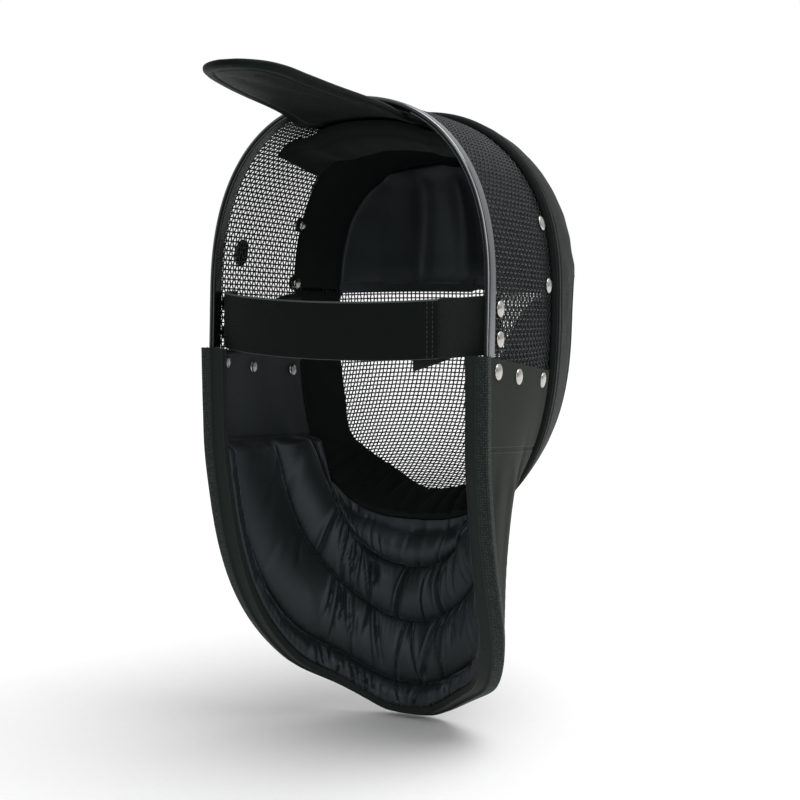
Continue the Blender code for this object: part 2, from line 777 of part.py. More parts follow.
def bib_grid(lines, between, top):
    """Base points, outward normals and hem directions, rear left round to rear right."""
    last = BIB_LEG_STEPS + BIB_ARC_STEPS
    left = []
    for step in range(last + 1):
        points = []
        for share in line_shares(lines, between, step):
            here = bib_base(step, share, top)
            down = bib_base(step + 0.1, share, top) if step < last else None
            up = bib_base(step - 0.1, share, top) if step > 0 else None
            along = (down or here) - (up or here)
            wide = (bib_base(step, min(share + 0.01, 1.0), top)
                    - bib_base(step, max(share - 0.01, 0.0), top)).normalized()
            if step == last:
                along = Vector((-1.0, 0.0, 0.0))
            out = along.cross(wide).normalized()
            if out.dot(Vector((here[0], here[1], 0.0))) < 0.0:
                out = -out
            points.append((here, out, wide))
        left.append(points)
    flip = Vector((-1.0, 1.0, 1.0))
    right = [[tuple(Vector((a * b for a, b in zip(item, flip))) for item in point)
              for point in points] for points in reversed(left[:-1])]
    return left + right


def cloth_top(forward):
    """Height of the outer cloth's upper edge."""
    return BIB_TOP - BIB_TOP_FALL * forward


def lining_top(forward):
    """Height of the lining's upper edge."""
    along = max(forward - LINING_FLAT, 0.0) / (BIB_FRONT - LINING_FLAT)
    return LINING_TOP + LINING_TOP_RISE * (1.0 - (1.0 - along) ** LINING_TOP_BEND)


def bib_outer(finish):
    """The heavy outer cloth, over the outside of the shell's sides."""
    grid = bib_grid(PLAIN_LINES, OUTER_ROWS, cloth_top)
    inner = [here + out * CLOTH_GAP for points in grid for here, out, wide in points]
    outer = [here + out * (CLOTH_GAP + CLOTH) for points in grid for here, out, wide in points]
    cells = grid_cells(len(grid), len(grid[0]))
    return thick_sheet("bib_outer", outer, inner, cells, finish)


def bib_lining(finish):
    """The quilted lining with its nested U channels."""
    grid = bib_grid(CHANNELS, LINING_BETWEEN, lining_top)
    middle = len(grid) // 2
    outer, inner = [], []
    for number, points in enumerate(grid):
        step = middle - abs(number - middle)
        quilted = smooth((step - BIB_LEG_STEPS) / 3.0)
        for index, (here, out, wide) in enumerate(points):
            puffed = math.sin(math.pi * (index % LINING_BETWEEN) / LINING_BETWEEN)
            swell = (LINING_PUFF - LINING_THIN) * puffed * quilted
            if index == len(points) - 1 and step > 0:
                swell = LINING_HEM - LINING_THIN
            outer.append(here + out * INSIDE)
            inner.append(here + out * (INSIDE - LINING_THIN - swell))
    return thick_sheet("bib_lining", outer, inner, grid_cells(len(grid), len(grid[0])), finish)


def bib_border(finish):
    """The wide binding that faces backward round the rear edges and the hem."""
    top = BORDER_GAP + BORDER_DEPTH
    profile = (
        (BORDER_OUT, BORDER_GAP),
        (BORDER_OUT, top - BORDER_BEVEL),
        (BORDER_OUT - BORDER_BEVEL, top),
        (BORDER_BEVEL - BORDER_IN, top),
        (-BORDER_IN, top - BORDER_BEVEL),
        (-BORDER_IN, BORDER_GAP),
    )
    rings = []
    for points in bib_grid(PLAIN_LINES, 1, cloth_top):
        here, out, wide = points[-1]
        rings.append([here + out * aside + wide * past for aside, past in profile])
    return sweep("bib_border", rings, finish)


# --------------------------------------------------------------------- the strap
def strap_place(angle, shift):
    """Plan place of a strap's middle plane: x and forward, `shift` towards the face."""
    reach = HALF_WIDTH + INSIDE - 0.5 * STRAP_THICKNESS
    turn = math.radians(min(max(angle, -90.0), 90.0))
    normal = Vector((-STRAP_BULGE * math.sin(turn), reach * math.cos(turn), 0.0)).normalized()
    x = reach * math.sin(turn) + normal[0] * shift
    forward = STRAP_END - STRAP_BULGE * math.cos(turn) + normal[1] * shift
    forward += max(abs(angle) - 90.0, 0.0) / 90.0 * STRAP_LAP
    return x, forward


def band(name, angles, shift, centre, finish):
    """A flat strip on edge along the strap's path."""
    outer, inner = [], []
    for angle in angles:
        x, forward = strap_place(angle, shift(angle))
        after = strap_place(angle + 1.0, shift(angle + 1.0))
        before = strap_place(angle - 1.0, shift(angle - 1.0))
        along = Vector((after[0] - before[0], after[1] - before[1], 0.0)).normalized()
        aside = Vector((-along[1], along[0], 0.0)) * (0.5 * STRAP_THICKNESS)
        for height in (centre(angle) - 0.5 * STRAP_HEIGHT, centre(angle) + 0.5 * STRAP_HEIGHT):
            middle = Vector((x, forward, height))
            outer.append(middle + aside)
            inner.append(middle - aside)
    return thick_sheet(name, outer, inner, grid_cells(len(angles), 2), finish)


def strap_centre(angle):
    """Height of the strap's centre line, which sags a little."""
    return STRAP_CENTRE - STRAP_SAG * math.cos(math.radians(min(abs(angle), 90.0))) ** 2


def straps(elastic, textured):
    """The elastic strap, the textured piece it is sewn to and the free tail."""
    lap = STRAP_THICKNESS + 0.0005
    left = [180.0] + steps(90.0, STRAP_STOP, 18)
    right = [-180.0] + steps(-90.0, ANCHOR_STOP, 8)
    strap = band("back_strap", left,
                 lambda angle: -lap * smooth(-angle / STRAP_SWING), strap_centre, elastic)
    anchor = band("strap_anchor", right, lambda angle: 0.0, strap_centre, textured)
    start, stop = TAIL_SPAN
    band("strap_tail", steps(start, stop, 4), lambda angle: lap,
         lambda angle: strap_centre(angle) - TAIL_DROP * (angle - start) / (stop - start),
         textured)
    return strap, anchor


# ------------------------------------------------------------------ rivets, patch
def turned(origin, axis, profile, sides):
    """Points and faces of a turned body: (radius, distance along the axis) tip to tip."""
    across = axis.cross(Vector((0.0, 0.0, 1.0))).normalized()
    third = axis.cross(across)
    points = [origin + axis * profile[0][1]]
    for radius, along in profile[1:-1]:
        for index in range(sides):
            turn = 2.0 * math.pi * (index + 0.5) / sides
            ring = (across * math.cos(turn) + third * math.sin(turn)) * radius
            points.append(origin + axis * along + ring)
    points.append(origin + axis * profile[-1][1])
    faces = []
    last = 1 + (len(profile) - 3) * sides
    for index in range(sides):
        after = (index + 1) % sides
        faces.append((0, 1 + index, 1 + after))
        for here in range(1, last, sides):
            there = here + sides
            faces.append((here + index, there + index, there + after, here + after))
        faces.append((last + index, len(points) - 1, last + after))
    return points, faces


def mirrored(point, side):
    """The point on the wearer's left (1) or right (-1)."""
    return Vector((side * point[0], point[1], point[2]))


def rivet_places(first_word):
    """Both places of each rivet whose name starts so: name, origin, axis and seats."""
    for name, forward, height, seat_out, seat_in in RIVETS:
        if name.startswith(first_word):
            base = wall_point(unlean(forward, height), height)
            for side, word in ((1.0, "_left"), (-1.0, "_right")):
                axis = mirrored(outward(base), side)
                yield name + word, mirrored(base, side), axis, seat_out, seat_in


def rivets(finish):
    """Every rivet: an outer head, a shank through the layers and an inner head."""
    for name, origin, axis, seat_out, seat_in in rivet_places(""):
        head, foot = seat_out + RIVET_SEAT, seat_in - RIVET_SEAT
        profile = (
            (0.0, head + RIVET_DOME),
            (RIVET_CROWN * RIVET_HEAD, head + RIVET_CROWN_RISE * RIVET_DOME),
            (RIVET_HEAD, head),
            (RIVET_SHANK, head),
            (RIVET_SHANK, foot),
            (RIVET_HEAD, foot),
            (0.0, foot - RIVET_DOME),
        )
        points, faces = turned(origin, axis, profile, RIVET_SIDES)
        solid(name, points, faces, finish)


def drill(first_word):
    """One cutting body for the holes of one kind of rivet."""
    reach_out, reach_in = DRILL_REACH
    profile = ((0.0, reach_out), (RIVET_HOLE, reach_out), (RIVET_HOLE, reach_in), (0.0, reach_in))
    points, faces = [], []
    for name, origin, axis, seat_out, seat_in in rivet_places(first_word):
        some_points, some_faces = turned(origin, axis, profile, RIVET_SIDES)
        faces += [tuple(len(points) + index for index in face) for face in some_faces]
        points += some_points
    return hide(solid("drill_" + first_word, points, faces, None))


def side_patch(finish):
    """The plain oval patch on the outside of the mesh on the wearer's left."""
    places = [(PATCH_FORWARD, PATCH_HEIGHT)]
    for index in range(PATCH_SIDES):
        turn = 2.0 * math.pi * index / PATCH_SIDES
        places.append((PATCH_FORWARD + PATCH_HALF_LENGTH * math.cos(turn),
                       PATCH_HEIGHT + PATCH_HALF_HEIGHT * math.sin(turn)))
    bases = [wall_point(unlean(forward, height), height) for forward, height in places]
    inner = [offset(base, CLEARANCE) for base in bases]
    outer = [offset(base, CLEARANCE + PATCH_THICKNESS) for base in bases]
    cells = [(0, 1 + index, 1 + (index + 1) % PATCH_SIDES) for index in range(PATCH_SIDES)]
    return thick_sheet("side_patch", outer, inner, cells, finish)


# ---------------------------------------------------------------------- the mask
def build():
    """Make every piece, then cut the window and the rivet holes."""
    for item in list(bpy.data.objects):
        bpy.data.objects.remove(item, do_unlink=True)
    wire = material("black_wire", WIRE, 0.45, 0.6)
    steel = material("dark_steel", STEEL, 0.35, 1.0)
    leather = material("black_leather", LEATHER, 0.55)
    satin = material("black_satin", SATIN, 0.42)
    cloth = material("heavy_black_cloth", HEAVY_CLOTH, 0.85)
    elastic = material("black_elastic", ELASTIC, 0.80)
    nickel = material("nickel", NICKEL, 0.25, 1.0)

    shell = mesh_shell(wire)
    rim_trim(steel)
    cover = front_cover(leather)
    crown_pad(satin)
    brow_pad(satin)
    low_angle, high_angle = TEMPLE_ANGLES
    temples = []
    for word, first, last in (("left", low_angle, high_angle),
                              ("right", 180.0 - high_angle, 180.0 - low_angle)):
        temples.append(side_pad("temple_pad_" + word, steps(first, last, TEMPLE_COLUMNS),
                                TEMPLE_ROWS + 1, temple_reach, TEMPLE_THICKNESS, 0.0, satin))
    side_pad("chin_pad", steps(CHIN_ANGLE, -180.0 - CHIN_ANGLE, CHIN_COLUMNS),
             CHIN_ROWS + 1, chin_reach, CHIN_THICKNESS, CHIN_GATHER, satin)
    tongue(leather)
    strap, anchor = straps(elastic, cloth)
    outer = bib_outer(cloth)
    lining = bib_lining(satin)
    bib_border(cloth)
    rivets(nickel)
    side_patch(elastic)

    cut(cover, window_cutter())
    bib_holes, strap_holes, cover_holes = drill("bib"), drill("strap"), drill("cover")
    for piece in (outer, lining, shell):
        cut(piece, bib_holes)
    for piece in (strap, anchor, shell):
        cut(piece, strap_holes)
    for piece in (shell, *temples):
        cut(piece, cover_holes)


build()
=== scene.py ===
"""Looks of a fencing coach's mask with a throat bib and a spring tongue.

The mask is laid out with three lengths, as its solids are: x to the wearer's left,
`forward` from the plane of the rear rim towards the face, and `height` above the line
where the rim's arch springs from its straight legs.  `place` turns them into the frame.
Lengths are in metres and angles in degrees.
"""
import math

import bmesh
import bpy
import numpy as np
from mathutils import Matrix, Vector


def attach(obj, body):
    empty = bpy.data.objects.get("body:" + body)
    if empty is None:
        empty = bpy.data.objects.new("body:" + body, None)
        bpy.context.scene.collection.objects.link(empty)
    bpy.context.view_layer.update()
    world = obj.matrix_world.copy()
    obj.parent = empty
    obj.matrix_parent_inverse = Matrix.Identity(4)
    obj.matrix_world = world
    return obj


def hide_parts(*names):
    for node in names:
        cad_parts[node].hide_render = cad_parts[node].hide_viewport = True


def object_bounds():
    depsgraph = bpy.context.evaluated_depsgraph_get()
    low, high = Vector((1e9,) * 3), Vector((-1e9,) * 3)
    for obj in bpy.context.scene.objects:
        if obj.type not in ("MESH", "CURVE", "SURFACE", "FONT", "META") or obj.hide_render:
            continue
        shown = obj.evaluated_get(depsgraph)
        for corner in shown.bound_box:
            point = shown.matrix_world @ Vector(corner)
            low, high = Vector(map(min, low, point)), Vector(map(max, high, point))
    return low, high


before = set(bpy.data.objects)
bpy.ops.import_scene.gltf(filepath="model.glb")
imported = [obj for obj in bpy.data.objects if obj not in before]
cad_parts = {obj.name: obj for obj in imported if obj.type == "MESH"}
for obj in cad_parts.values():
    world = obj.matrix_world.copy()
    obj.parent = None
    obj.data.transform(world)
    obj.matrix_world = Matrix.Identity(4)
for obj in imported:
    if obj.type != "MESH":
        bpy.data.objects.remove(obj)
CAD_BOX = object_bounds()

# ------------------------------------------------------------------ shell's sizes
HALF_WIDTH = 0.100
ARCH_HEIGHT = 0.125
CHIN_DEPTH = 0.168
DEPTH = 0.228
WIDTH_POWER = 3.25           # how squarely width, top and bottom close in front
TOP_POWER = 3.90
LOW_POWER = 2.18
ARCH_SQUARE = 2.35           # squareness of the upright sections: arch, jaw, and
JAW_SQUARE = 2.70            # what the straight legs add to the jaw at the rim
LEG_SQUARE = 3.00
LEG_REACH = 0.0975
NOSE_DROP = 0.055            # fall per metre forward
RIM_LEAN = 0.042             # lean forward per metre of height
SHELL_WALL = 0.0016
CLEARANCE = 0.0007
INSIDE = -(SHELL_WALL + CLEARANCE)
SEAT_FORWARD = 0.045
CROWN_THICKNESS = 0.015
TONGUE_ROOM = 0.0086

# Wire of the shell: at least 1 mm thick, with gaps of at most 2.1 mm.
WIRE_PITCH = 0.0032
WIRE_RADIUS = 0.00056
WIRE_SIZES = {"Wire radius": WIRE_RADIUS, "Sides": 5}
WIRE_BANDS = (
    # piece, first and last angle, first and last place forward
    ("wire_band", -13.0, 193.0, 0.0006, 0.1150),
    ("wire_crown", 32.0, 148.0, 0.1150, 0.1860),
)
FACE_HEIGHTS = (-0.158, 0.020)
FACE_BEARING = 62.0
FACE_REACH = 0.172           # each way from the nose, along the wire
FACE_REAR = 0.1375           # the cover hides its wires behind this place
FACE_TOP = 0.0165

# Rim: a folded strip, from behind the shell's edge to the ends of its two legs.
RIM_LEG = 0.0060
RIM_BACK = 0.0030
RIM_SHEET = 0.0009
RIM_GAP = 0.0005
RIM_END = -7.5
RIM_PITCH = 0.0030           # between its sections
RIM_ROUNDING = (0.0003, 0.0004, 0.0024, 0.0020, 0.0004, 0.0003, 0.0004, 0.0004)

# -------------------------------------------------------------------- bib's sizes
BIB_SECTIONS = (
    # height, half_width, depth, squareness, rear end behind the rim
    (-0.030, 0.1010, 0.122, 5.0, -0.0060),
    (-0.085, 0.1005, 0.118, 3.6, -0.0045),
    (-0.125, 0.0992, 0.111, 2.7, -0.0035),
    (-0.170, 0.0985, 0.108, 2.3, -0.0045),
    (-0.230, 0.0985, 0.108, 2.1, -0.0055),
    (-0.300, 0.0960, 0.107, 2.0, -0.0060),
)
BIB_REAR = -0.006
BIB_FRONT = 0.1055
BIB_TOP = -0.0375            # height of the outer cloth's top edge at the rim,
BIB_TOP_FALL = 0.14          # and its fall per metre forward
BIB_SEAM = -0.088
BIB_HEM = -0.2895
BIB_LENGTH = 0.165           # from the front centre to the rear edge, over the cloth
BIB_SEAM_LENGTH = 0.052      # and to the end of its seam to the shell
BIB_ROUND = 1.92
HEM_LIFT = 0.0055            # rise of the hem beside the front: height, place, reach
HEM_LIFT_PLACE = 0.055
HEM_LIFT_REACH = 0.040
BIB_FREE = 0.40              # share of the cloth that eases from the seam to the curtain
BIB_ON_SHELL = (-0.080, -0.125)
BIB_LEG_STEPS, BIB_ARC_STEPS = 3.0, 15.0
CLOTH = 0.0018
CLOTH_GAP = 0.0005
CHANNELS = (
    # quilt lines: share of the cloth's width at the level seam, at the front centre
    (0.000, 0.000),
    (0.100, 0.247),
    (0.461, 0.538),
    (0.884, 0.872),
    (1.000, 1.000),
)
CHANNEL_PUFF = (0.0085, 0.0095, 0.0095, 0.0085)
CHANNEL_FOLDS = (0.45, 1.0, 1.0, 0.8)    # share of the folds' depth in each channel
LINING_TOP = -0.0385
LINING_FLAT = 0.0280
LINING_TOP_RISE = 0.0355
LINING_TOP_BEND = 2.5
LINING_THIN = 0.0030
LINING_LEAST = 0.0014
HEM_FILL = 0.0050
SEAM_GROOVE = 0.0011         # depth and half width along the level seam
QUILT_PUCKERS = (0.0011, 0.0040, 0.0050)    # depth, pitch and reach: beside quilt lines,
HEM_PUCKERS = (0.0010, 0.0060, 0.0070)      # above the hem,
SIDE_PUCKERS = (0.0012, 0.0058, 0.0045)     # and below the level seam
LEVEL_SEAM = -0.0985         # height of the lining's level seam at the rim,
LEVEL_SEAM_FALL = 0.070      # and its fall per metre forward
OUTER_SEAM = -0.0947         # the same for the outer cloth's seam
OUTER_SEAM_FALL = 0.090
FOLDS = (
    # nearer to the front centre than, and the range of their spacing, width and depth
    (0.028, (0.013, 0.021), (0.0009, 0.0018), (0.0030, 0.0046)),
    (0.095, (0.0045, 0.0085), (0.0008, 0.0018), (0.0014, 0.0034)),
    (0.300, (0.018, 0.034), (0.0030, 0.0055), (0.0006, 0.0015)),
)
BORDER_OUT = 0.0032
BORDER_IN = 0.0130
BORDER_HIGH = 0.0056
BORDER_SEAT = -0.0008        # its front face laps over the ends of both cloths
BORDER_OUTLINE = (
    # how far outward, how far past the cloth's edge, rounding
    (BORDER_OUT, BORDER_SEAT, 0.0004),
    (BORDER_OUT, BORDER_HIGH, 0.0022),
    (-0.0048, BORDER_HIGH + 0.0004, 0.0006),
    (-0.0056, BORDER_HIGH - 0.0014, 0.0004),
    (-0.0116, BORDER_HIGH - 0.0024, 0.0003),
    (-0.0123, BORDER_HIGH - 0.0017, 0.0005),
    (-BORDER_IN, BORDER_HIGH - 0.0026, 0.0008),
    (-BORDER_IN, BORDER_SEAT, 0.0004),
)

# ------------------------------------------------------------ window, cover, pads
WINDOW_EDGE = (
    # angle below the spring line, forward place of the edge
    (-8.0, 0.1570),
    (-28.0, 0.1540),
    (-40.0, 0.1480),
    (-56.0, 0.1550),
    (-73.0, 0.1556),
    (-90.0, 0.1430),
)
WINDOW_TOP = 0.008
WINDOW_ROUND = 0.018
WINDOW_CENTRE = -0.066
WINDOW_EYE = 0.060
COVER_REAR_SIDE = 0.1095
COVER_REAR_TOP = 0.0985
COVER_THICKNESS = 0.0045
COVER_ROLL = 0.0035
COVER_BINDING = 0.0026       # edge of its binding, from the rear edge and the window's,
COVER_SEAM = 0.0085          # and its seams
COVER_GROOVE = 0.0008        # depth and half width of the grooves they lie in
COVER_WAVES = 0.0005
CROWN_REAR = (
    # angle from the top, forward place of the rear edge
    (0.0, 0.0260),
    (18.0, 0.0270),
    (30.0, 0.0290),
    (45.0, 0.0330),
)
CROWN_FRONT = 0.0980
CROWN_END = 0.0030           # thickness at its two ends
CROWN_ARC = 43.5
CROWN_FLARE = 5.5            # degrees that its ends widen by at the front
PAD_EDGE = 0.0012            # thickness at the pads' thinnest edges
TEMPLE_REAR = 0.0995
TEMPLE_FRONT = (
    # angle above the spring line, forward place beside the brow pad
    (0.0, 0.1550),
    (20.0, 0.1555),
    (36.0, 0.1595),
    (50.0, 0.1665),
    (60.0, 0.1735),
    (68.0, 0.1810),
    (80.0, 0.1865),
    (90.0, 0.1880),
)
TEMPLE_ANGLES = (2.2, 89.3)
TEMPLE_THICKNESS = 0.0030
CHIN_REAR = 0.1015
CHIN_INSET = 0.0035
CHIN_ANGLE = 1.4
CHIN_THICKNESS = 0.0080
CHIN_GATHER = 0.0034
CHIN_GATHER_ARC = 52.0       # each way from the bottom
CHIN_LEAST = 0.0010
BROW_FOLDS = (
    # bearing, lean over the pad's height, half width, depth
    (-33.0, 0.10, 1.6, 0.0016),
    (-21.0, -0.05, 2.0, 0.0024),
    (-9.0, 0.04, 1.5, 0.0012),
    (4.0, 0.03, 2.2, 0.0038),
    (18.5, -0.04, 2.4, 0.0042),
    (30.0, -0.08, 1.6, 0.0010),
)
BROW_AXIS = 0.060
BROW_CLEARANCE = 0.0015
BROW_END = 0.0022            # thickness at its two ends
BROW_GATHERS = 0.0005
BROW_SECTIONS = (
    # height, half_angle about the upright axis, thickness
    (-0.004, 44.0, 0.0040),
    (0.004, 44.0, 0.0110),
    (0.030, 43.0, 0.0150),
    (0.060, 38.8, 0.0150),
    (0.080, 31.0, 0.0130),
    (0.091, 21.5, 0.0090),
    (0.0955, 9.0, 0.0050),
)

# ---------------------------------------------------- tongue, strap, patch, rivets
TONGUE_SECTIONS = (
    # forward, centre_height, half_width, share of the arch's curve
    (0.058, 0.1190, 0.0400, 1.00),
    (0.030, 0.1202, 0.0425, 1.00),
    (0.003, 0.1207, 0.0405, 1.00),
    (-0.012, 0.1214, 0.0385, 0.56),
    (-0.040, 0.1232, 0.0355, 0.14),
    (-0.070, 0.1263, 0.0330, 0.04),
    (-0.100, 0.1303, 0.0303, 0.00),
    (-0.122, 0.1338, 0.0267, 0.00),
    (-0.134, 0.1354, 0.0208, 0.00),
    (-0.141, 0.1363, 0.0101, 0.00),
    (-0.1428, 0.1365, 0.0000, 0.00),
)
TONGUE_THICKNESS = 0.0058
TONGUE_ROLL = 0.0030
TONGUE_SEAM = 0.0070
TONGUE_GROOVE = 0.0006
TONGUE_SEWN = 0.045          # its seams end above the crown pad, this far forward
STRAP_THICKNESS = 0.0020
STRAP_HEIGHT = 0.0370
STRAP_PLACE = 0.014          # forward place where the strap meets the shell,
STRAP_BOW = 0.034            # and how far it bows backward from there
STRAP_LAP = 0.0025
STRAP_RUN = 0.010            # of its ends forward along the shell
STRAP_CENTRE = -0.0178
STRAP_SAG = 0.0045
STRAP_ROLL = 0.0010
STRAP_END = -46.0            # angles from straight behind: end of the strap,
LOOP_END = -34.0             # end of the looped piece and of its free tail,
TAIL_START = -54.0           # and start of the tail,
TAIL_FALL = 0.0075           # which has fallen this far at its end
STRAP_SEAMS = (-43.5, -41.0)
PATCH_CENTRE = (0.0356, 0.0262)
PATCH_HALF = (0.0080, 0.0090)
RIVETS = (
    # name, forward, height, outer seat and inner seat from the shell's outer face
    ("bib_rivet_rear", 0.0080, -0.0467, 0.0023, -0.0053),
    ("bib_rivet_middle", 0.0420, -0.0519, 0.0023, -0.0053),
    ("bib_rivet_front", 0.0905, -0.0573, 0.0023, -0.0057),
    ("strap_rivet_upper", 0.0160, -0.0080, 0.0000, -0.0049),
    ("strap_rivet_lower", 0.0160, -0.0270, 0.0000, -0.0049),
    ("cover_rivet_upper", 0.1035, 0.0460, 0.0003, -0.0028),
    ("cover_rivet_lower", 0.1035, 0.0045, 0.0003, -0.0028),
)
RIVET_SIZES = {"Head radius": 0.0053, "Dome height": 0.0016, "Shank radius": 0.0018,
               "Shank length": 0.0030}
RIVET_INNER = 0.80           # inner ends, as a share of the outer heads
RIVET_SEAT = 0.0003
STITCH_INPUTS = ("Pitch", "Stitch length", "Thread radius")
STITCH_SIZES = {
    "cover_stitches": (0.0035, 0.0026, 0.00035),
    "tongue_stitches": (0.0032, 0.0024, 0.00030),
    "lining_stitches": (0.0036, 0.0026, 0.00032),
    "outer_stitches": (0.0034, 0.0025, 0.00030),
    "strap_stitches": (0.0030, 0.0022, 0.00030),
}

# ------------------------------------------------------------------------- light
ROOM_LIGHT = (0.10, 0.70)    # of the dim side behind the viewer, and of the white sweep
SWEEP = (0.44, -0.87, 0.22)  # the way to the middle of the white sweep
LAMPS = (
    # name, azimuth it comes from, elevation, angle across, strength
    ("overhead", 280.0, 70.0, 50.0, 2.1),
    ("right_side", 300.0, 25.0, 30.0, 0.12),
    ("from_behind", 206.0, 22.0, 50.0, 0.95),
)

CAMERA_PLACE = (207.03, 3.09, 1.1475)      # azimuth, elevation, distance from its target
CAMERA_TARGET = (0.0, 0.0042, -0.1268)
CAMERA_LENS = 77.9           # millimetres, on a sensor of 36
CAMERA_SHIFT = (0.0276, -0.077)

MIRROR = np.array([-1.0, 1.0, 1.0])
AHEAD = np.array([0.0, 1.0, 0.0])


# ------------------------------------------------------------------- small sums
def superellipse(fraction, power):
    """Remaining radius of a superellipse at a fraction of its other axis."""
    return (1.0 - np.clip(fraction, 0.0, 1.0) ** power) ** (1.0 / power)


def smooth(value):
    """Smooth step from 0 to 1."""
    value = np.clip(value, 0.0, 1.0)
    return value * value * (3.0 - 2.0 * value)


def bell(distance, width):
    """1 in the middle, fading out over a width on each side."""
    return np.exp(-(distance / width) ** 2)


def rolled(distance, radius):
    """Share of the full height at a distance inside an edge rolled to a radius."""
    return np.sqrt(1.0 - (1.0 - np.clip(distance / radius, 0.0, 1.0)) ** 2)


def pillow(share, power=0.5):
    """0 at both edges of a pad and 1 over most of its width."""
    return np.minimum(1.0, 4.0 * share * (1.0 - share)) ** power


def tucks(walk, pitch):
    """1 at the middle of each narrow tuck and 0 between tucks."""
    return 1.0 - np.abs(np.sin(math.pi * walk / pitch))


def mix(first, second, share):
    """The first at share 0 and the second at share 1."""
    return first + (second - first) * share


def unit(vectors):
    """The vectors at length 1."""
    return vectors / np.maximum(np.linalg.norm(vectors, axis=-1, keepdims=True), 1e-12)


def stack(*parts):
    """Points from their coordinates, which are numbers or arrays."""
    return np.stack(np.broadcast_arrays(*parts), axis=-1)


def table_curve(rows, at):
    """A table's other columns as smooth curves over its first column."""
    rows = np.array(sorted(rows))
    knots, values = rows[:, 0], rows[:, 1:]
    slopes = np.gradient(values, knots, axis=0)
    at = np.clip(np.asarray(at, float), knots[0], knots[-1])
    low = np.clip(np.searchsorted(knots, at) - 1, 0, len(knots) - 2)
    span = (knots[low + 1] - knots[low])[..., None]
    t = ((at - knots[low])[..., None]) / span
    start = (1.0 + 2.0 * t) * (1.0 - t) ** 2 * values[low] + t * (1.0 - t) ** 2 * span * slopes[low]
    end = t * t * (3.0 - 2.0 * t) * values[low + 1] + t * t * (t - 1.0) * span * slopes[low + 1]
    return np.moveaxis(start + end, -1, 0)


def walked(points, axis=0):
    """Distance walked along one axis of a grid of points, starting at 0."""
    hops = np.linalg.norm(np.diff(points, axis=axis), axis=-1)
    return np.insert(np.cumsum(hops, axis=axis), 0, 0.0, axis=axis)


def points_at(at, places, line):
    """Points of a line at values of a measure that grows along it."""
    return stack(*[np.interp(at, places, line[:, axis]) for axis in range(3)])


def even_values(values, line, pitch):
    """Values at an even spacing along the line they belong to."""
    lengths = walked(line)
    count = max(int(round(lengths[-1] / pitch)), 1)
    return np.interp(np.linspace(0.0, lengths[-1], count + 1), lengths, values)


def edge_steps(count, crowd=1.5):
    """Values from 0 to 1 that crowd towards both ends."""
    even = np.linspace(-1.0, 1.0, count)
    return 0.5 + 0.5 * np.sign(even) * (1.0 - (1.0 - np.abs(even)) ** crowd)


def ripple(places, length, seed):
    """Uneven waves of about one length, between -1 and 1, the same on every run."""
    chance = np.random.RandomState(seed)
    total = np.zeros_like(places)
    for _ in range(5):
        wave = length * chance.uniform(0.6, 1.7)
        total += math.sqrt(0.4) * np.sin(2.0 * math.pi * places / wave + chance.uniform(0.0, 6.28))
    return np.clip(total / 1.5, -1.0, 1.0)


# --------------------------------------------------------------- shell's surface
def section(forward):
    """Half width, top, bottom and low squareness of upright cross-sections."""
    along = np.clip(forward / DEPTH, 0.0, 1.0)
    width = HALF_WIDTH * superellipse(along, WIDTH_POWER)
    top = ARCH_HEIGHT * superellipse(along, TOP_POWER)
    low = CHIN_DEPTH * superellipse(along, LOW_POWER)
    near_rim = np.clip(1.0 - forward / LEG_REACH, 0.0, 1.0)
    return width, top, low, JAW_SQUARE + LEG_SQUARE * near_rim ** 1.5


def lean(forward, rise):
    """Forward distance of a cross-section where it rises, as the rim leans forward."""
    return forward + RIM_LEAN * rise * (1.0 - forward / DEPTH)


def unlean(distance, height):
    """The cross-section that reaches a forward distance at a height."""
    forward = np.asarray(distance, float) + 0.0 * height
    for _ in range(4):
        pull = RIM_LEAN * (height + NOSE_DROP * forward)
        forward = (distance - pull) / (1.0 - pull / DEPTH)
    return forward


def surface(angle, forward):
    """Layout points of the shell's outer face; angles turn from +x over the top."""
    angle, forward = np.broadcast_arrays(np.asarray(angle, float), np.asarray(forward, float))
    width, top, low, jaw = section(forward)
    turn = np.radians(angle)
    up = np.sin(turn) >= 0.0
    share = np.abs(np.sin(turn)) ** (2.0 / np.where(up, ARCH_SQUARE, JAW_SQUARE))
    rise = np.where(up, top * share, -low * share)
    x = np.copysign(width * superellipse(share, np.where(up, ARCH_SQUARE, jaw)), np.cos(turn))
    return stack(x, lean(forward, rise), rise - NOSE_DROP * forward)


def wall_point(forward, height):
    """Layout points of the shell's outer face on the wearer's left."""
    width, top, low, jaw = section(forward)
    rise = height + NOSE_DROP * forward
    inset = np.where(rise >= 0.0, superellipse(rise / top, ARCH_SQUARE), superellipse(-rise / low, jaw))
    return stack(width * inset, lean(forward, rise), height)


def level(points):
    """Negative inside the shell's outer face and positive outside it."""
    forward = unlean(points[..., 1], points[..., 2])
    width, top, low, jaw = section(np.minimum(forward, DEPTH * 0.9998))
    rise = points[..., 2] + NOSE_DROP * forward
    up = rise >= 0.0
    power = np.where(up, ARCH_SQUARE, jaw)
    reach = (np.abs(points[..., 0]) / width) ** power + (np.abs(rise) / np.where(up, top, low)) ** power
    return np.where(forward >= DEPTH * 0.9999, 1.0, reach - 1.0)


def outward(points):
    """Unit normals of the shell's outer face near layout points."""
    shifts = 0.0004 * np.eye(3)
    return unit(stack(*[level(points + shift) - level(points - shift) for shift in shifts]))


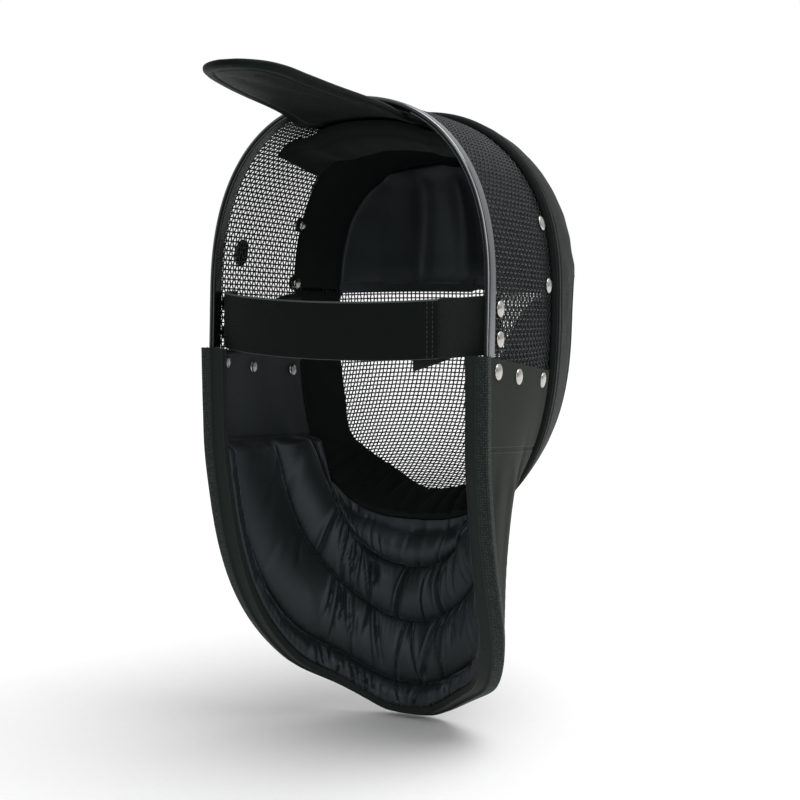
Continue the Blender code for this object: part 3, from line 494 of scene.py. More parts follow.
def cast(start, direction):
    """Where rays from inside meet the shell's outer face."""
    start, direction = np.broadcast_arrays(start, direction)
    near = np.zeros(start.shape[:-1])
    far = np.full(start.shape[:-1], 0.40)
    for _ in range(36):
        middle = 0.5 * (near + far)
        out = level(start + direction * middle[..., None]) > 0.0
        far = np.where(out, middle, far)
        near = np.where(out, near, middle)
    return start + direction * near[..., None]


def crown_rest(angle):
    """Depth of the crown pad's upper face, which leaves room for the tongue."""
    from_top = np.abs(np.asarray(angle, float) - 90.0)
    return INSIDE - TONGUE_ROOM * (1.0 - smooth((from_top - 24.0) / 16.0))


SEAT_HEIGHT = float(surface(90.0, SEAT_FORWARD)[2] + crown_rest(90.0) - CROWN_THICKNESS)
SEAT_PLACE = float(lean(SEAT_FORWARD, ARCH_HEIGHT))


def place(points):
    """Frame positions of layout points."""
    return stack(points[..., 0], SEAT_PLACE - points[..., 1], points[..., 2] - SEAT_HEIGHT)


# ------------------------------------------------------------------- mesh making
def new_object(name, data):
    """An object of its own data, in the scene."""
    piece = bpy.data.objects.new(name, data)
    bpy.context.scene.collection.objects.link(piece)
    return piece


def to_mesh(name, points, faces, uv=None):
    """A smooth mesh object from frame positions, with UVs in metres."""
    mesh = bpy.data.meshes.new(name)
    mesh.from_pydata(points.tolist(), [], faces)
    if uv is not None:
        corners = np.empty(len(mesh.loops), np.int32)
        mesh.loops.foreach_get("vertex_index", corners)
        layer = mesh.uv_layers.new(name="cloth")
        layer.data.foreach_set("uv", uv[corners].astype(np.float32).ravel())
    mesh.update()
    shape = bmesh.new()
    shape.from_mesh(mesh)
    if shape.calc_volume(signed=True) < 0.0:
        bmesh.ops.reverse_faces(shape, faces=shape.faces)
        shape.to_mesh(mesh)
    shape.free()
    mesh.shade_smooth()
    mesh.set_sharp_from_angle(angle=math.radians(60.0))
    return new_object(name, mesh)


def point_numbers(rows, columns, wrap):
    """Numbers of a grid's points, row by row; a closed row ends where it starts."""
    numbers = np.arange(rows * columns).reshape(rows, columns)
    return np.concatenate([numbers, numbers[:, :1]], axis=1) if wrap else numbers


def grid_faces(numbers):
    """Cells of a grid of point numbers."""
    cells = [numbers[:-1, :-1], numbers[:-1, 1:], numbers[1:, 1:], numbers[1:, :-1]]
    return np.stack(cells, axis=-1).reshape(-1, 4)


def cloth_uv(points):
    """Distances in metres across and along a grid of points, for its weave."""
    across = walked(points, 1)
    across -= across[:, across.shape[1] // 2][:, None]
    return stack(across, walked(points, 0)).reshape(-1, 2)


def thick_sheet(name, outer, inner, wrap=False):
    """Close the space between two grids of layout points."""
    outer, inner = place(outer), place(inner)
    rows, columns = outer.shape[:2]
    count = rows * columns
    numbers = point_numbers(rows, columns, wrap)
    front = grid_faces(numbers)
    faces = [front, front[:, ::-1] + count]
    edges = [(numbers[0], -1), (numbers[-1], 1)]
    if not wrap:
        edges += [(numbers[:, 0], 1), (numbers[:, -1], -1)]
    for line, way in edges:
        ends = [line[:-1], line[1:], line[1:] + count, line[:-1] + count]
        faces.append(np.stack(ends[::way], axis=-1))
    points = np.concatenate([outer.reshape(-1, 3), inner.reshape(-1, 3)])
    uv = np.concatenate([cloth_uv(outer), cloth_uv(inner)])
    return to_mesh(name, points, np.concatenate(faces).tolist(), uv)


def sweep(name, path, out, ahead, profile):
    """A closed body: a profile of (outward, ahead) lengths carried along layout points."""
    across = out[:, None] * profile[None, :, :1]
    rings = place(path[:, None] + across + ahead[:, None] * profile[None, :, 1:])
    steps, size = rings.shape[:2]
    faces = grid_faces(point_numbers(steps, size, True)).tolist()
    faces += [range(size), range(steps * size - 1, (steps - 1) * size - 1, -1)]
    uv = stack(*np.meshgrid(walked(rings[0]), walked(rings.mean(axis=1)))).reshape(-1, 2)
    return to_mesh(name, rings.reshape(-1, 3), faces, uv)


def own(piece, nodes, finish):
    """Tie a finished piece to the frame and give it its material; hide the solids it takes the place of.
    """
    piece.data.materials.clear()
    piece.data.materials.append(FINISHES[finish])
    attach(piece, "root")
    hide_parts(*nodes)
    return piece


# ----------------------------------------------------------------- material tools
def colour(code):
    """Linear colour of an sRGB hex value."""
    values = [int(code[index:index + 2], 16) / 255.0 for index in (0, 2, 4)]
    linear = [v / 12.92 if v <= 0.04045 else ((v + 0.055) / 1.055) ** 2.4 for v in values]
    return (*linear, 1.0)


def add(tree, kind, inputs=None, out=0, **settings):
    """Add a node with its settings, values and links, and give one of its outputs."""
    node = tree.nodes.new(kind)
    for name, value in settings.items():
        setattr(node, name, value)
    for socket, value in (inputs or {}).items():
        if isinstance(value, bpy.types.NodeSocket):
            tree.links.new(value, node.inputs[socket])
        else:
            node.inputs[socket].default_value = value
    return node.outputs[out] if node.outputs else None


def new_finish(name):
    """An empty material and its tree."""
    finish = bpy.data.materials.new(name)
    finish.use_nodes = True
    finish.node_tree.nodes.clear()
    return finish, finish.node_tree


def end_finish(finish, pattern, dark, light, skin):
    """Colour a material from dark to light by a pattern and give its skin the rest."""
    tree = finish.node_tree
    tone = add(tree, "ShaderNodeMix", {0: pattern, 6: dark, 7: light}, 2, data_type="RGBA")
    shader = add(tree, "ShaderNodeBsdfPrincipled", {"Base Color": tone, **skin})
    add(tree, "ShaderNodeOutputMaterial", {"Surface": shader})
    return finish


COOL = colour("e7fff5")      # tint of the shine on dyed black leather and cloth


def wire_enamel():
    """Drawn steel wire, woven and stove-enamelled black: a satin skin, greyer and
    glossier on the crowns where wires cross and rub."""
    finish, tree = new_finish("enamelled_steel_wire")
    spot = add(tree, "ShaderNodeTexCoord", out="Object")
    # Rubbed stretches are about two wires long, 6 mm.
    worn = add(tree, "ShaderNodeTexNoise", {"Vector": spot, "Scale": 1.0 / 0.006, "Detail": 3.0})
    rough = add(tree, "ShaderNodeMapRange", {"Value": worn, "To Min": 0.20, "To Max": 0.36})
    return end_finish(finish, worn, colour("181c1d"), colour("3c4242"),
                      {"Roughness": rough, "Metallic": 0.70})


def rim_steel():
    """Cold-rolled steel strip, folded: the outer side shows grey metal with long faint drawing lines, and
    the inner side and the back carry painted shade, a near-black non-metal colour where they lie in
    shadow."""
    finish, tree = new_finish("steel_strip_painted_shade")
    chart = add(tree, "ShaderNodeUVMap", uv_map="cloth")
    # Drawing lines are 0.3 mm wide and about 20 mm long.
    drawn = add(tree, "ShaderNodeMapping", {"Vector": chart, "Scale": (1.0 / 0.0003, 1.0 / 0.02, 1.0)})
    lines = add(tree, "ShaderNodeTexNoise", {"Vector": drawn, "Scale": 1.0, "Detail": 4.0})
    # The outer side and half of the fold lie within 11 mm round the section.
    across = add(tree, "ShaderNodeSeparateXYZ", {0: chart})
    # Painted shade: past these 11 mm the strip turns near-black and non-metal, where its inner side lies
    # in shadow.
    painted_shade_split = add(tree, "ShaderNodeMapRange", {"Value": across, "From Min": 0.0104, "From Max": 0.0114,
                                            "To Min": 1.0, "To Max": 0.0})
    metal = add(tree, "ShaderNodeMix", {0: lines, 6: colour("606466"), 7: colour("8e9294")}, 2,
                data_type="RGBA")
    rough = add(tree, "ShaderNodeMapRange", {"Value": lines, "To Min": 0.10, "To Max": 0.20})
    bump = add(tree, "ShaderNodeBump", {"Height": lines, "Distance": 0.00002})
    # The near-black colour is painted shade over the inner side and the back.
    return end_finish(finish, painted_shade_split, colour("0c0e0e"), metal,
                      {"Roughness": rough, "Metallic": painted_shade_split, "Normal": bump})


def grained_leather():
    """Black coated leather with a pressed grain: pebbles just over a millimetre
    across, glossier on their tops, and faint creases."""
    finish, tree = new_finish("grained_leather")
    spot = add(tree, "ShaderNodeTexCoord", out="Object")
    pebbles = add(tree, "ShaderNodeTexVoronoi", {"Vector": spot, "Scale": 1.0 / 0.0012,
                                                 "Randomness": 0.9}, feature="DISTANCE_TO_EDGE")
    tops = add(tree, "ShaderNodeMapRange", {"Value": pebbles, "From Max": 0.18})
    clouds = add(tree, "ShaderNodeTexNoise", {"Vector": spot, "Scale": 1.0 / 0.02, "Detail": 5.0})
    creases = add(tree, "ShaderNodeTexNoise", {"Vector": spot, "Scale": 1.0 / 0.006, "Detail": 4.0})
    rough = add(tree, "ShaderNodeMapRange", {"Value": tops, "To Min": 0.66, "To Max": 0.48})
    soft = add(tree, "ShaderNodeBump", {"Height": creases, "Distance": 0.0004, "Strength": 0.5})
    bump = add(tree, "ShaderNodeBump", {"Height": tops, "Distance": 0.00012, "Strength": 0.6,
                                        "Normal": soft})
    return end_finish(finish, clouds, colour("060807"), colour("0d110e"), {
        "Roughness": rough, "Specular IOR Level": 0.13, "Specular Tint": COOL, "Normal": bump})


def lining_satin():
    """Polyester satin lining, woven with long floats: smooth threads that catch a
    broad, slightly blue sheen along each fold."""
    finish, tree = new_finish("polyester_satin")
    spot = add(tree, "ShaderNodeTexCoord", out="Object")
    chart = add(tree, "ShaderNodeUVMap", uv_map="cloth")
    # Threads are 0.2 mm apart; they are drawn at 0.7 mm, the finest that shows.
    warp = add(tree, "ShaderNodeMapping", {"Vector": chart, "Scale": (1.0 / 0.0007, 1.0 / 0.006, 1.0)})
    floats = add(tree, "ShaderNodeTexNoise", {"Vector": warp, "Scale": 1.0, "Detail": 2.0})
    clouds = add(tree, "ShaderNodeTexNoise", {"Vector": spot, "Scale": 1.0 / 0.03, "Detail": 4.0})
    rough = add(tree, "ShaderNodeMapRange", {"Value": floats, "To Min": 0.46, "To Max": 0.60})
    bump = add(tree, "ShaderNodeBump", {"Height": floats, "Distance": 0.00007, "Strength": 0.5})
    return end_finish(finish, clouds, colour("0c1110"), colour("181e20"), {
        "Roughness": rough, "Specular Tint": colour("e8f5fb"), "Sheen Weight": 0.22,
        "Sheen Roughness": 0.30, "Sheen Tint": colour("d2e0e6"), "Normal": bump})


def brushed_knit():
    """Brushed warp-knit facing of the head pads: soft, matt and nearly black, with
    faint wales and a little nap."""
    finish, tree = new_finish("brushed_warp_knit")
    spot = add(tree, "ShaderNodeTexCoord", out="Object")
    chart = add(tree, "ShaderNodeUVMap", uv_map="cloth")
    # Wales are 0.7 mm apart; they are drawn at 1.1 mm, the finest that shows.
    loops = add(tree, "ShaderNodeTexVoronoi", {"Vector": chart, "Scale": 1.0 / 0.0011,
                                               "Randomness": 0.35})
    nap = add(tree, "ShaderNodeTexNoise", {"Vector": spot, "Scale": 1.0 / 0.012, "Detail": 5.0})
    rough = add(tree, "ShaderNodeMapRange", {"Value": nap, "To Min": 0.74, "To Max": 0.92})
    bump = add(tree, "ShaderNodeBump", {"Height": loops, "Distance": 0.00010, "Strength": 0.5})
    return end_finish(finish, nap, colour("070a09"), colour("101413"), {
        "Roughness": rough, "Specular IOR Level": 0.16, "Specular Tint": COOL,
        "Sheen Weight": 0.02, "Normal": bump})


def ballistic_cloth():
    """Heavy woven nylon of the bib's outside: thick dull threads in a plain weave."""
    finish, tree = new_finish("ballistic_nylon")
    spot = add(tree, "ShaderNodeTexCoord", out="Object")
    chart = add(tree, "ShaderNodeUVMap", uv_map="cloth")
    # Threads are 0.6 mm apart; they are drawn at 1.1 mm, the finest that shows.
    threads = add(tree, "ShaderNodeTexVoronoi", {"Vector": chart, "Scale": 1.0 / 0.0011,
                                                 "Randomness": 0.08}, distance="CHEBYCHEV")
    clouds = add(tree, "ShaderNodeTexNoise", {"Vector": spot, "Scale": 1.0 / 0.02, "Detail": 5.0})
    rough = add(tree, "ShaderNodeMapRange", {"Value": threads, "To Min": 0.66, "To Max": 0.95})
    bump = add(tree, "ShaderNodeBump", {"Height": threads, "Distance": 0.00018, "Strength": 0.8},
               invert=True)
    return end_finish(finish, clouds, colour("0a0e0a"), colour("131711"), {
        "Roughness": rough, "Specular IOR Level": 0.20, "Specular Tint": colour("f2fff0"),
        "Sheen Weight": 0.03, "Normal": bump})


def border_weave():
    """Wide knitted binding: a pebbly outer half that scatters light as small grey
    dots, and a plain turned-in inner half."""
    finish, tree = new_finish("knitted_binding")
    chart = add(tree, "ShaderNodeUVMap", uv_map="cloth")
    across = add(tree, "ShaderNodeSeparateXYZ", {0: chart})
    # The outer side and half of the rear face lie within 13 mm round the section.
    pebbly = add(tree, "ShaderNodeMapRange", {"Value": across, "From Min": 0.0125, "From Max": 0.0135,
                                              "To Min": 1.0, "To Max": 0.0})
    # Knots are 1.6 mm apart.
    knots = add(tree, "ShaderNodeTexVoronoi", {"Vector": chart, "Scale": 1.0 / 0.0016,
                                               "Randomness": 0.35})
    dots = add(tree, "ShaderNodeMapRange", {"Value": knots, "From Min": 0.12, "From Max": 0.42,
                                            "To Min": 1.0, "To Max": 0.0})
    shown = add(tree, "ShaderNodeMath", {0: dots, 1: pebbly}, operation="MULTIPLY")
    rough = add(tree, "ShaderNodeMapRange", {"Value": shown, "To Min": 0.78, "To Max": 0.52})
    bump = add(tree, "ShaderNodeBump", {"Height": shown, "Distance": 0.0004, "Strength": 0.8})
    return end_finish(finish, shown, colour("0e1312"), colour("2d3433"), {
        "Roughness": rough, "Specular IOR Level": 0.32, "Specular Tint": COOL,
        "Sheen Weight": 0.05, "Normal": bump})


def ribbed_elastic():
    """Woven rubber-cored elastic: fine ribs along its length under crosswise yarns, and a paler band along
    each edge, a painted highlight where the rounded edges catch the light."""
    finish, tree = new_finish("woven_elastic")
    chart = add(tree, "ShaderNodeUVMap", uv_map="cloth")
    # Ribs are 1 mm apart; they are drawn at 1.4 mm, crossed by yarns every 0.8 mm.
    knit = add(tree, "ShaderNodeMapping", {"Vector": chart, "Scale": (1.0 / 0.0008, 1.0 / 0.0014, 1.0)})
    ribs = add(tree, "ShaderNodeTexVoronoi", {"Vector": knit, "Scale": 1.0, "Randomness": 0.12},
               distance="CHEBYCHEV")
    height = add(tree, "ShaderNodeSeparateXYZ", {0: chart}, 1)
    off_middle = add(tree, "ShaderNodeMath", {0: height, 1: 0.5 * STRAP_HEIGHT}, operation="SUBTRACT")
    from_middle = add(tree, "ShaderNodeMath", {0: off_middle}, operation="ABSOLUTE")
    # The painted edge highlight starts 0.9 mm from the strap's edge.
    painted_edge_highlight = add(tree, "ShaderNodeMapRange", {"Value": from_middle, "From Min": 0.0176,
                                                "From Max": 0.0181})
    plain = add(tree, "ShaderNodeMix", {0: ribs, 6: colour("0b0f0e"), 7: colour("050807")}, 2,
                data_type="RGBA")
    bump = add(tree, "ShaderNodeBump", {"Height": ribs, "Distance": 0.00018, "Strength": 0.8},
               invert=True)
    # The pale colour along each edge is a painted highlight.
    return end_finish(finish, painted_edge_highlight, plain, colour("4a514f"), {
        "Roughness": 0.80, "Specular IOR Level": 0.14, "Specular Tint": COOL,
        "Sheen Weight": 0.02, "Normal": bump})


def looped_textile():
    """Loop side of a hook-and-loop tape: a short fuzzy pile."""
    finish, tree = new_finish("looped_pile")
    spot = add(tree, "ShaderNodeTexCoord", out="Object")
    # Loops are about 1.2 mm across.
    fuzz = add(tree, "ShaderNodeTexNoise", {"Vector": spot, "Scale": 1.0 / 0.0012, "Detail": 6.0,
                                            "Roughness": 0.7})
    bump = add(tree, "ShaderNodeBump", {"Height": fuzz, "Distance": 0.0007, "Strength": 0.9})
    return end_finish(finish, fuzz, colour("060908"), colour("1d2321"), {
        "Roughness": 0.95, "Specular IOR Level": 0.2, "Sheen Weight": 0.08,
        "Sheen Roughness": 0.6, "Normal": bump})


def nickel_plate():
    """Nickel-plated brass rivets, polished, with fine scuffs."""
    finish, tree = new_finish("nickel_plate")
    spot = add(tree, "ShaderNodeTexCoord", out="Object")
    # Scuffs are about 1.5 mm long.
    scuffs = add(tree, "ShaderNodeTexNoise", {"Vector": spot, "Scale": 1.0 / 0.0015, "Detail": 6.0})
    rough = add(tree, "ShaderNodeMapRange", {"Value": scuffs, "To Min": 0.16, "To Max": 0.32})
    bump = add(tree, "ShaderNodeBump", {"Height": scuffs, "Distance": 0.00003})
    return end_finish(finish, scuffs, colour("a9a8a3"), colour("d3d2cd"),
                      {"Roughness": rough, "Metallic": 1.0, "Normal": bump})


def moulded_patch():
    """Moulded nylon tag: dull, with a faint spark-eroded grain."""
    finish, tree = new_finish("moulded_nylon")
    spot = add(tree, "ShaderNodeTexCoord", out="Object")
    # The grain is drawn at 0.8 mm, the finest that shows.
    grain = add(tree, "ShaderNodeTexNoise", {"Vector": spot, "Scale": 1.0 / 0.0008, "Detail": 4.0})
    rough = add(tree, "ShaderNodeMapRange", {"Value": grain, "To Min": 0.48, "To Max": 0.66})
    bump = add(tree, "ShaderNodeBump", {"Height": grain, "Distance": 0.00005})
    return end_finish(finish, grain, colour("121515"), colour("1b1e1e"),
                      {"Roughness": rough, "Normal": bump})


def sewing_thread():
    """Bonded nylon thread, a shade lighter than what it holds."""
    finish, tree = new_finish("bonded_nylon_thread")
    spot = add(tree, "ShaderNodeTexCoord", out="Object")
    # Twists are about 0.6 mm long.
    twist = add(tree, "ShaderNodeTexNoise", {"Vector": spot, "Scale": 1.0 / 0.0006, "Detail": 2.0})
    return end_finish(finish, twist, colour("0f1212"), colour("24292a"),
                      {"Roughness": 0.6, "Sheen Weight": 0.1})


def backdrop_paper():
    """Pale uncoated backdrop paper: matt, with faint fibres 4 mm long."""
    finish, tree = new_finish("pale_backdrop_paper")
    spot = add(tree, "ShaderNodeTexCoord", out="Object")
    fibres = add(tree, "ShaderNodeTexNoise", {"Vector": spot, "Scale": 1.0 / 0.004, "Detail": 3.0})
    return end_finish(finish, fibres, colour("f6f6f6"), colour("fafafa"),
                      {"Roughness": 0.95, "Specular IOR Level": 0.2})


FINISHES = {
    "wire": wire_enamel(),
    "rim": rim_steel(),
    "leather": grained_leather(),
    "satin": lining_satin(),
    "knit": brushed_knit(),
    "heavy": ballistic_cloth(),
    "border": border_weave(),
    "elastic": ribbed_elastic(),
    "pile": looped_textile(),
    "nickel": nickel_plate(),
    "patch": moulded_patch(),
    "thread": sewing_thread(),
}


# ---------------------------------------------------------------- geometry nodes
def new_tree(name, sizes):
    """A geometry tree with a named input for each size, and its inputs' sockets."""
    tree = bpy.data.node_groups.new(name, "GeometryNodeTree")
    tree.interface.new_socket("Geometry", in_out="INPUT", socket_type="NodeSocketGeometry")
    for title, value in sizes.items():
        kind = "NodeSocketInt" if isinstance(value, int) else "NodeSocketFloat"
        tree.interface.new_socket(title, in_out="INPUT", socket_type=kind).default_value = value
    tree.interface.new_socket("Geometry", in_out="OUTPUT", socket_type="NodeSocketGeometry")
    return tree, tree.nodes.new("NodeGroupInput").outputs


def end_tree(tree, geometry, finish):
    """Shade the result smooth, make it real, give it its material and send it out."""
    smoothed = add(tree, "GeometryNodeSetShadeSmooth", {0: geometry})
    real = add(tree, "GeometryNodeRealizeInstances", {0: smoothed})
    painted = add(tree, "GeometryNodeSetMaterial", {"Geometry": real, "Material": FINISHES[finish]})
    add(tree, "NodeGroupOutput", {0: painted})
    return tree


def grow(name, guide, tree, sizes):
    """Run a geometry tree on a guide object and keep its result as a plain mesh."""
    step = guide.modifiers.new("grow", "NODES")
    step.node_group = tree
    for item in tree.interface.items_tree:
        if item.in_out == "INPUT" and item.name in sizes:
            step[item.identifier] = sizes[item.name]
    bpy.context.view_layer.update()
    graph = bpy.context.evaluated_depsgraph_get()
    mesh = bpy.data.meshes.new_from_object(guide.evaluated_get(graph))
    mesh.name = name
    guide.modifiers.remove(step)
    bpy.data.objects.remove(guide)
    return new_object(name, mesh)


def guide_lines(name, lines):
    """A guide object of open lines of layout points."""
    points, edges = [], []
    for line in lines:
        first = len(points)
        points += place(line).tolist()
        edges += [(first + index, first + index + 1) for index in range(len(line) - 1)]
    mesh = bpy.data.meshes.new(name)
    mesh.from_pydata(points, edges, [])
    return new_object(name, mesh)


def guide_points(name, points, axes, sizes):
    """A guide object of loose layout points, each with an axis and a size."""
    guide = guide_lines(name, [points[index:index + 1] for index in range(len(points))])
    axis = guide.data.attributes.new("axis", "FLOAT_VECTOR", "POINT")
    axis.data.foreach_set("vector", axes.astype(np.float32).ravel())
    size = guide.data.attributes.new("size", "FLOAT", "POINT")
    size.data.foreach_set("value", np.array(sizes, np.float32))
    return guide


def wire_tree():
    """Round wire along each guide line."""
    tree, given = new_tree("woven_wire", WIRE_SIZES)
    paths = add(tree, "GeometryNodeMeshToCurve", {0: given["Geometry"]})
    ring = add(tree, "GeometryNodeCurvePrimitiveCircle", {"Radius": given["Wire radius"],
                                                          "Resolution": given["Sides"]})
    wires = add(tree, "GeometryNodeCurveToMesh", {"Curve": paths, "Profile Curve": ring,
                                                  "Fill Caps": True})
    return end_tree(tree, wires, "wire")


def stitch_sizes(name):
    """A piece's own stitch sizes, by the names of the tree's inputs."""
    return dict(zip(STITCH_INPUTS, STITCH_SIZES[name]))


def stitch_tree():
    """Short rounded stitches at an even pitch along each guide line."""
    tree, given = new_tree("seam_stitches", stitch_sizes("cover_stitches"))
    paths = add(tree, "GeometryNodeMeshToCurve", {0: given["Geometry"]})
    spots = add(tree, "GeometryNodeCurveToPoints", {"Curve": paths, "Length": given["Pitch"]},
                mode="LENGTH").node.outputs
    thread = add(tree, "GeometryNodeMeshIcoSphere", {"Radius": 0.5, "Subdivisions": 2})
    wide = add(tree, "ShaderNodeMath", {0: given["Thread radius"], 1: 2.0}, operation="MULTIPLY")
    size = add(tree, "ShaderNodeCombineXYZ", {0: wide, 1: wide, 2: given["Stitch length"]})
    shaped = add(tree, "GeometryNodeTransform", {"Geometry": thread, "Scale": size})
    sewn = add(tree, "GeometryNodeInstanceOnPoints", {"Points": spots["Points"], "Instance": shaped,
                                                      "Rotation": spots["Rotation"]})
    return end_tree(tree, sewn, "thread")


def rivet_tree():
    """A domed head on a short shank at each guide point, along its axis."""
    tree, given = new_tree("domed_rivets", RIVET_SIZES)
    ball = add(tree, "GeometryNodeMeshUVSphere", {"Segments": 28, "Rings": 15, "Radius": 1.0})
    size = add(tree, "ShaderNodeCombineXYZ", {0: given["Head radius"], 1: given["Head radius"],
                                              2: given["Dome height"]})
    dome = add(tree, "GeometryNodeTransform", {"Geometry": ball, "Scale": size})
    # The underside is flattened 0.4 mm below its widest ring, so that the head sits flat.
    spot = add(tree, "GeometryNodeInputPosition")
    parts = add(tree, "ShaderNodeSeparateXYZ", {0: spot}).node.outputs
    flat = add(tree, "ShaderNodeMath", {0: parts[2], 1: -0.0004}, operation="MAXIMUM")
    there = add(tree, "ShaderNodeCombineXYZ", {0: parts[0], 1: parts[1], 2: flat})
    head = add(tree, "GeometryNodeSetPosition", {"Geometry": dome, "Position": there})
    rod = add(tree, "GeometryNodeMeshCylinder", {"Vertices": 20, "Radius": given["Shank radius"],
                                                 "Depth": given["Shank length"]})
    back = add(tree, "ShaderNodeMath", {0: given["Shank length"], 1: -0.5}, operation="MULTIPLY")
    down = add(tree, "ShaderNodeCombineXYZ", {2: back})
    shank = add(tree, "GeometryNodeTransform", {"Geometry": rod, "Translation": down})
    both = add(tree, "GeometryNodeJoinGeometry", {0: head})
    tree.links.new(shank, both.node.inputs[0])
    axis = add(tree, "GeometryNodeInputNamedAttribute", {"Name": "axis"}, data_type="FLOAT_VECTOR")
    turn = add(tree, "FunctionNodeAlignRotationToVector", {"Vector": axis}, axis="Z")
    points = add(tree, "GeometryNodeMeshToPoints", {"Mesh": given["Geometry"]})
    scale = add(tree, "GeometryNodeInputNamedAttribute", {"Name": "size"}, data_type="FLOAT")
    set_in = add(tree, "GeometryNodeInstanceOnPoints", {"Points": points, "Instance": both,
                                                        "Rotation": turn, "Scale": scale})
    return end_tree(tree, set_in, "nickel")


WIRES = wire_tree()
STITCHES = stitch_tree()
DOMED_RIVETS = rivet_tree()


def stitches(name, lines, nodes):
    """Stitches along seam lines."""
    guide = guide_lines(name + "_guide", lines)
    own(grow(name, guide, STITCHES, stitch_sizes(name)), nodes, "thread")


# -------------------------------------------------------------------- wire shell
def weave(name, crossings, kept):
    """Two sets of wires through a grid of crossings, over and under in turn."""
    normals = outward(crossings)
    rows, columns = np.indices(kept.shape)
    turns = np.where((rows + columns) % 2 == 0, 1.0, -1.0)
    middle = crossings - normals * (0.5 * SHELL_WALL)
    lift = normals * (turns * WIRE_RADIUS)[..., None]
    lines = []
    for grid, mask in ((middle + lift, kept), ((middle - lift).swapaxes(0, 1), kept.T)):
        for line, keep in zip(grid, mask):
            ends = np.flatnonzero(np.diff(np.concatenate([[0], keep.astype(int), [0]])))
            lines += [line[first:last] for first, last in zip(ends[::2], ends[1::2]) if last - first > 1]
    guide = guide_lines(name + "_guide", lines)
    own(grow(name, guide, WIRES, WIRE_SIZES), ["mesh_shell"], "wire")


def wire_band(name, first_angle, last_angle, first, last):
    """Wires that follow the rim and wires that run forward from it."""
    angles = np.linspace(first_angle, last_angle, 1500)
    angles = even_values(angles, surface(angles, 0.5 * (first + last)), WIRE_PITCH)
    forwards = np.arange(first, last, WIRE_PITCH)
    crossings = surface(angles[None, :], forwards[:, None])
    weave(name, crossings, np.ones(crossings.shape[:2], bool))


def wire_face():
    """Level wires and upright wires over the face."""
    heights = np.linspace(*FACE_HEIGHTS, 900)
    heights = even_values(heights, cast(stack(0.0, WINDOW_EYE, heights), AHEAD), WIRE_PITCH)
    bearings = np.radians(np.linspace(0.0, FACE_BEARING, 500))
    rays = stack(np.sin(bearings), np.cos(bearings), 0.0)
    reach = np.arange(0.0, FACE_REACH, WIRE_PITCH)
    levels = cast(stack(0.0, WINDOW_EYE, heights)[:, None], rays)
    half = np.array([points_at(reach, walked(line), line) for line in levels])
    crossings = np.concatenate([half[:, :0:-1] * MIRROR, half], axis=1)
    forward = unlean(crossings[..., 1], crossings[..., 2])
    weave("wire_face", crossings, (forward > FACE_REAR) & (crossings[..., 2] < FACE_TOP))


# ------------------------------------------------------------------ rim and cover
def rounded(corners, radii, parts):
    """An outline whose corners are rounded, each by a few short chords."""
    corners = np.array(corners, float)
    points = []
    for index, corner in enumerate(corners):
        ways = (corners[index - 1] - corner, corners[(index + 1) % len(corners)] - corner)
        reach = min(radii[index], *(0.48 * np.linalg.norm(way) for way in ways))
        start, stop = (corner + way / np.linalg.norm(way) * reach for way in ways)
        for share in np.linspace(0.0, 1.0, parts + 1):
            points.append(mix(mix(start, corner, share), mix(corner, stop, share), share))
    return np.array(points)


def rim_band():
    """The folded steel strip over the rear edge of the wire, with a flat back."""
    over, out = RIM_GAP, RIM_GAP + RIM_SHEET
    under, inner = -SHELL_WALL - RIM_GAP, -SHELL_WALL - RIM_GAP - RIM_SHEET
    fold = RIM_SHEET - RIM_BACK
    corners = ((over, RIM_LEG), (out, RIM_LEG), (out, -RIM_BACK), (inner, -RIM_BACK),
               (inner, RIM_LEG), (under, RIM_LEG), (under, fold), (over, fold))
    angles = np.linspace(RIM_END, 180.0 - RIM_END, 2000)
    angles = even_values(angles, surface(angles, 0.0), RIM_PITCH)
    edge = surface(angles, 0.0)
    normal = outward(edge)
    ahead = unit(np.cross(surface(angles + 0.3, 0.0) - surface(angles - 0.3, 0.0), normal))
    ahead *= np.sign(ahead[:, 1])[:, None]
    piece = sweep("rim_band", edge, normal, ahead, rounded(corners, RIM_ROUNDING, 8))
    own(piece, ["rim_trim"], "rim")


def about_face(points):
    """Angle of layout points about the forward line through the window's middle."""
    return np.arctan2(points[..., 2] - WINDOW_CENTRE, points[..., 0])


def window_place(angle):
    """Forward place of the window's edge at an angle, alike on both sides."""
    return table_curve(WINDOW_EDGE, np.abs(np.asarray(angle) + 90.0) - 90.0)[0]


def window_edge(turns):
    """Points of the face window's edge: round the face, level on top."""
    last_angle, rear = WINDOW_EDGE[0]
    low = float(surface(0.0, rear)[2]) - WINDOW_ROUND
    angles = np.linspace(-90.0, last_angle, 400)
    sides = surface(angles, window_place(angles))
    turn = np.radians(np.linspace(3.0, 87.0, 60))
    height = mix(low, WINDOW_TOP, np.sin(turn))
    corner = wall_point(unlean(rear + WINDOW_ROUND * (1.0 - np.cos(turn)), height), height)
    x = np.linspace(corner[-1, 0] - 0.004, 0.0, 200)
    half = np.concatenate([sides, corner, cast(stack(x, WINDOW_EYE, WINDOW_TOP), AHEAD)])
    order = np.argsort(about_face(half))
    return points_at(turns, about_face(half)[order], half[order])


def cover_grid(count, rows):
    """The cover's base points from its rear edge, row 0, to the window's edge."""
    turns = np.linspace(-0.5 * math.pi, 0.5 * math.pi, count)
    angles = np.linspace(-90.0, 90.0, 1600)
    # The rear edge comes back over the crown.
    over_crown = smooth(np.maximum(np.sin(np.radians(angles)), 0.0) ** 2)
    rear = surface(angles, mix(COVER_REAR_SIDE, COVER_REAR_TOP, over_crown))
    rear = points_at(turns, about_face(rear), rear)
    eye = np.array([0.0, WINDOW_EYE, WINDOW_CENTRE * 0.5])
    half = cast(eye, unit(mix(rear[None], window_edge(turns)[None], rows[:, None, None]) - eye))
    return np.concatenate([half, half[:, -2:0:-1] * MIRROR], axis=1)


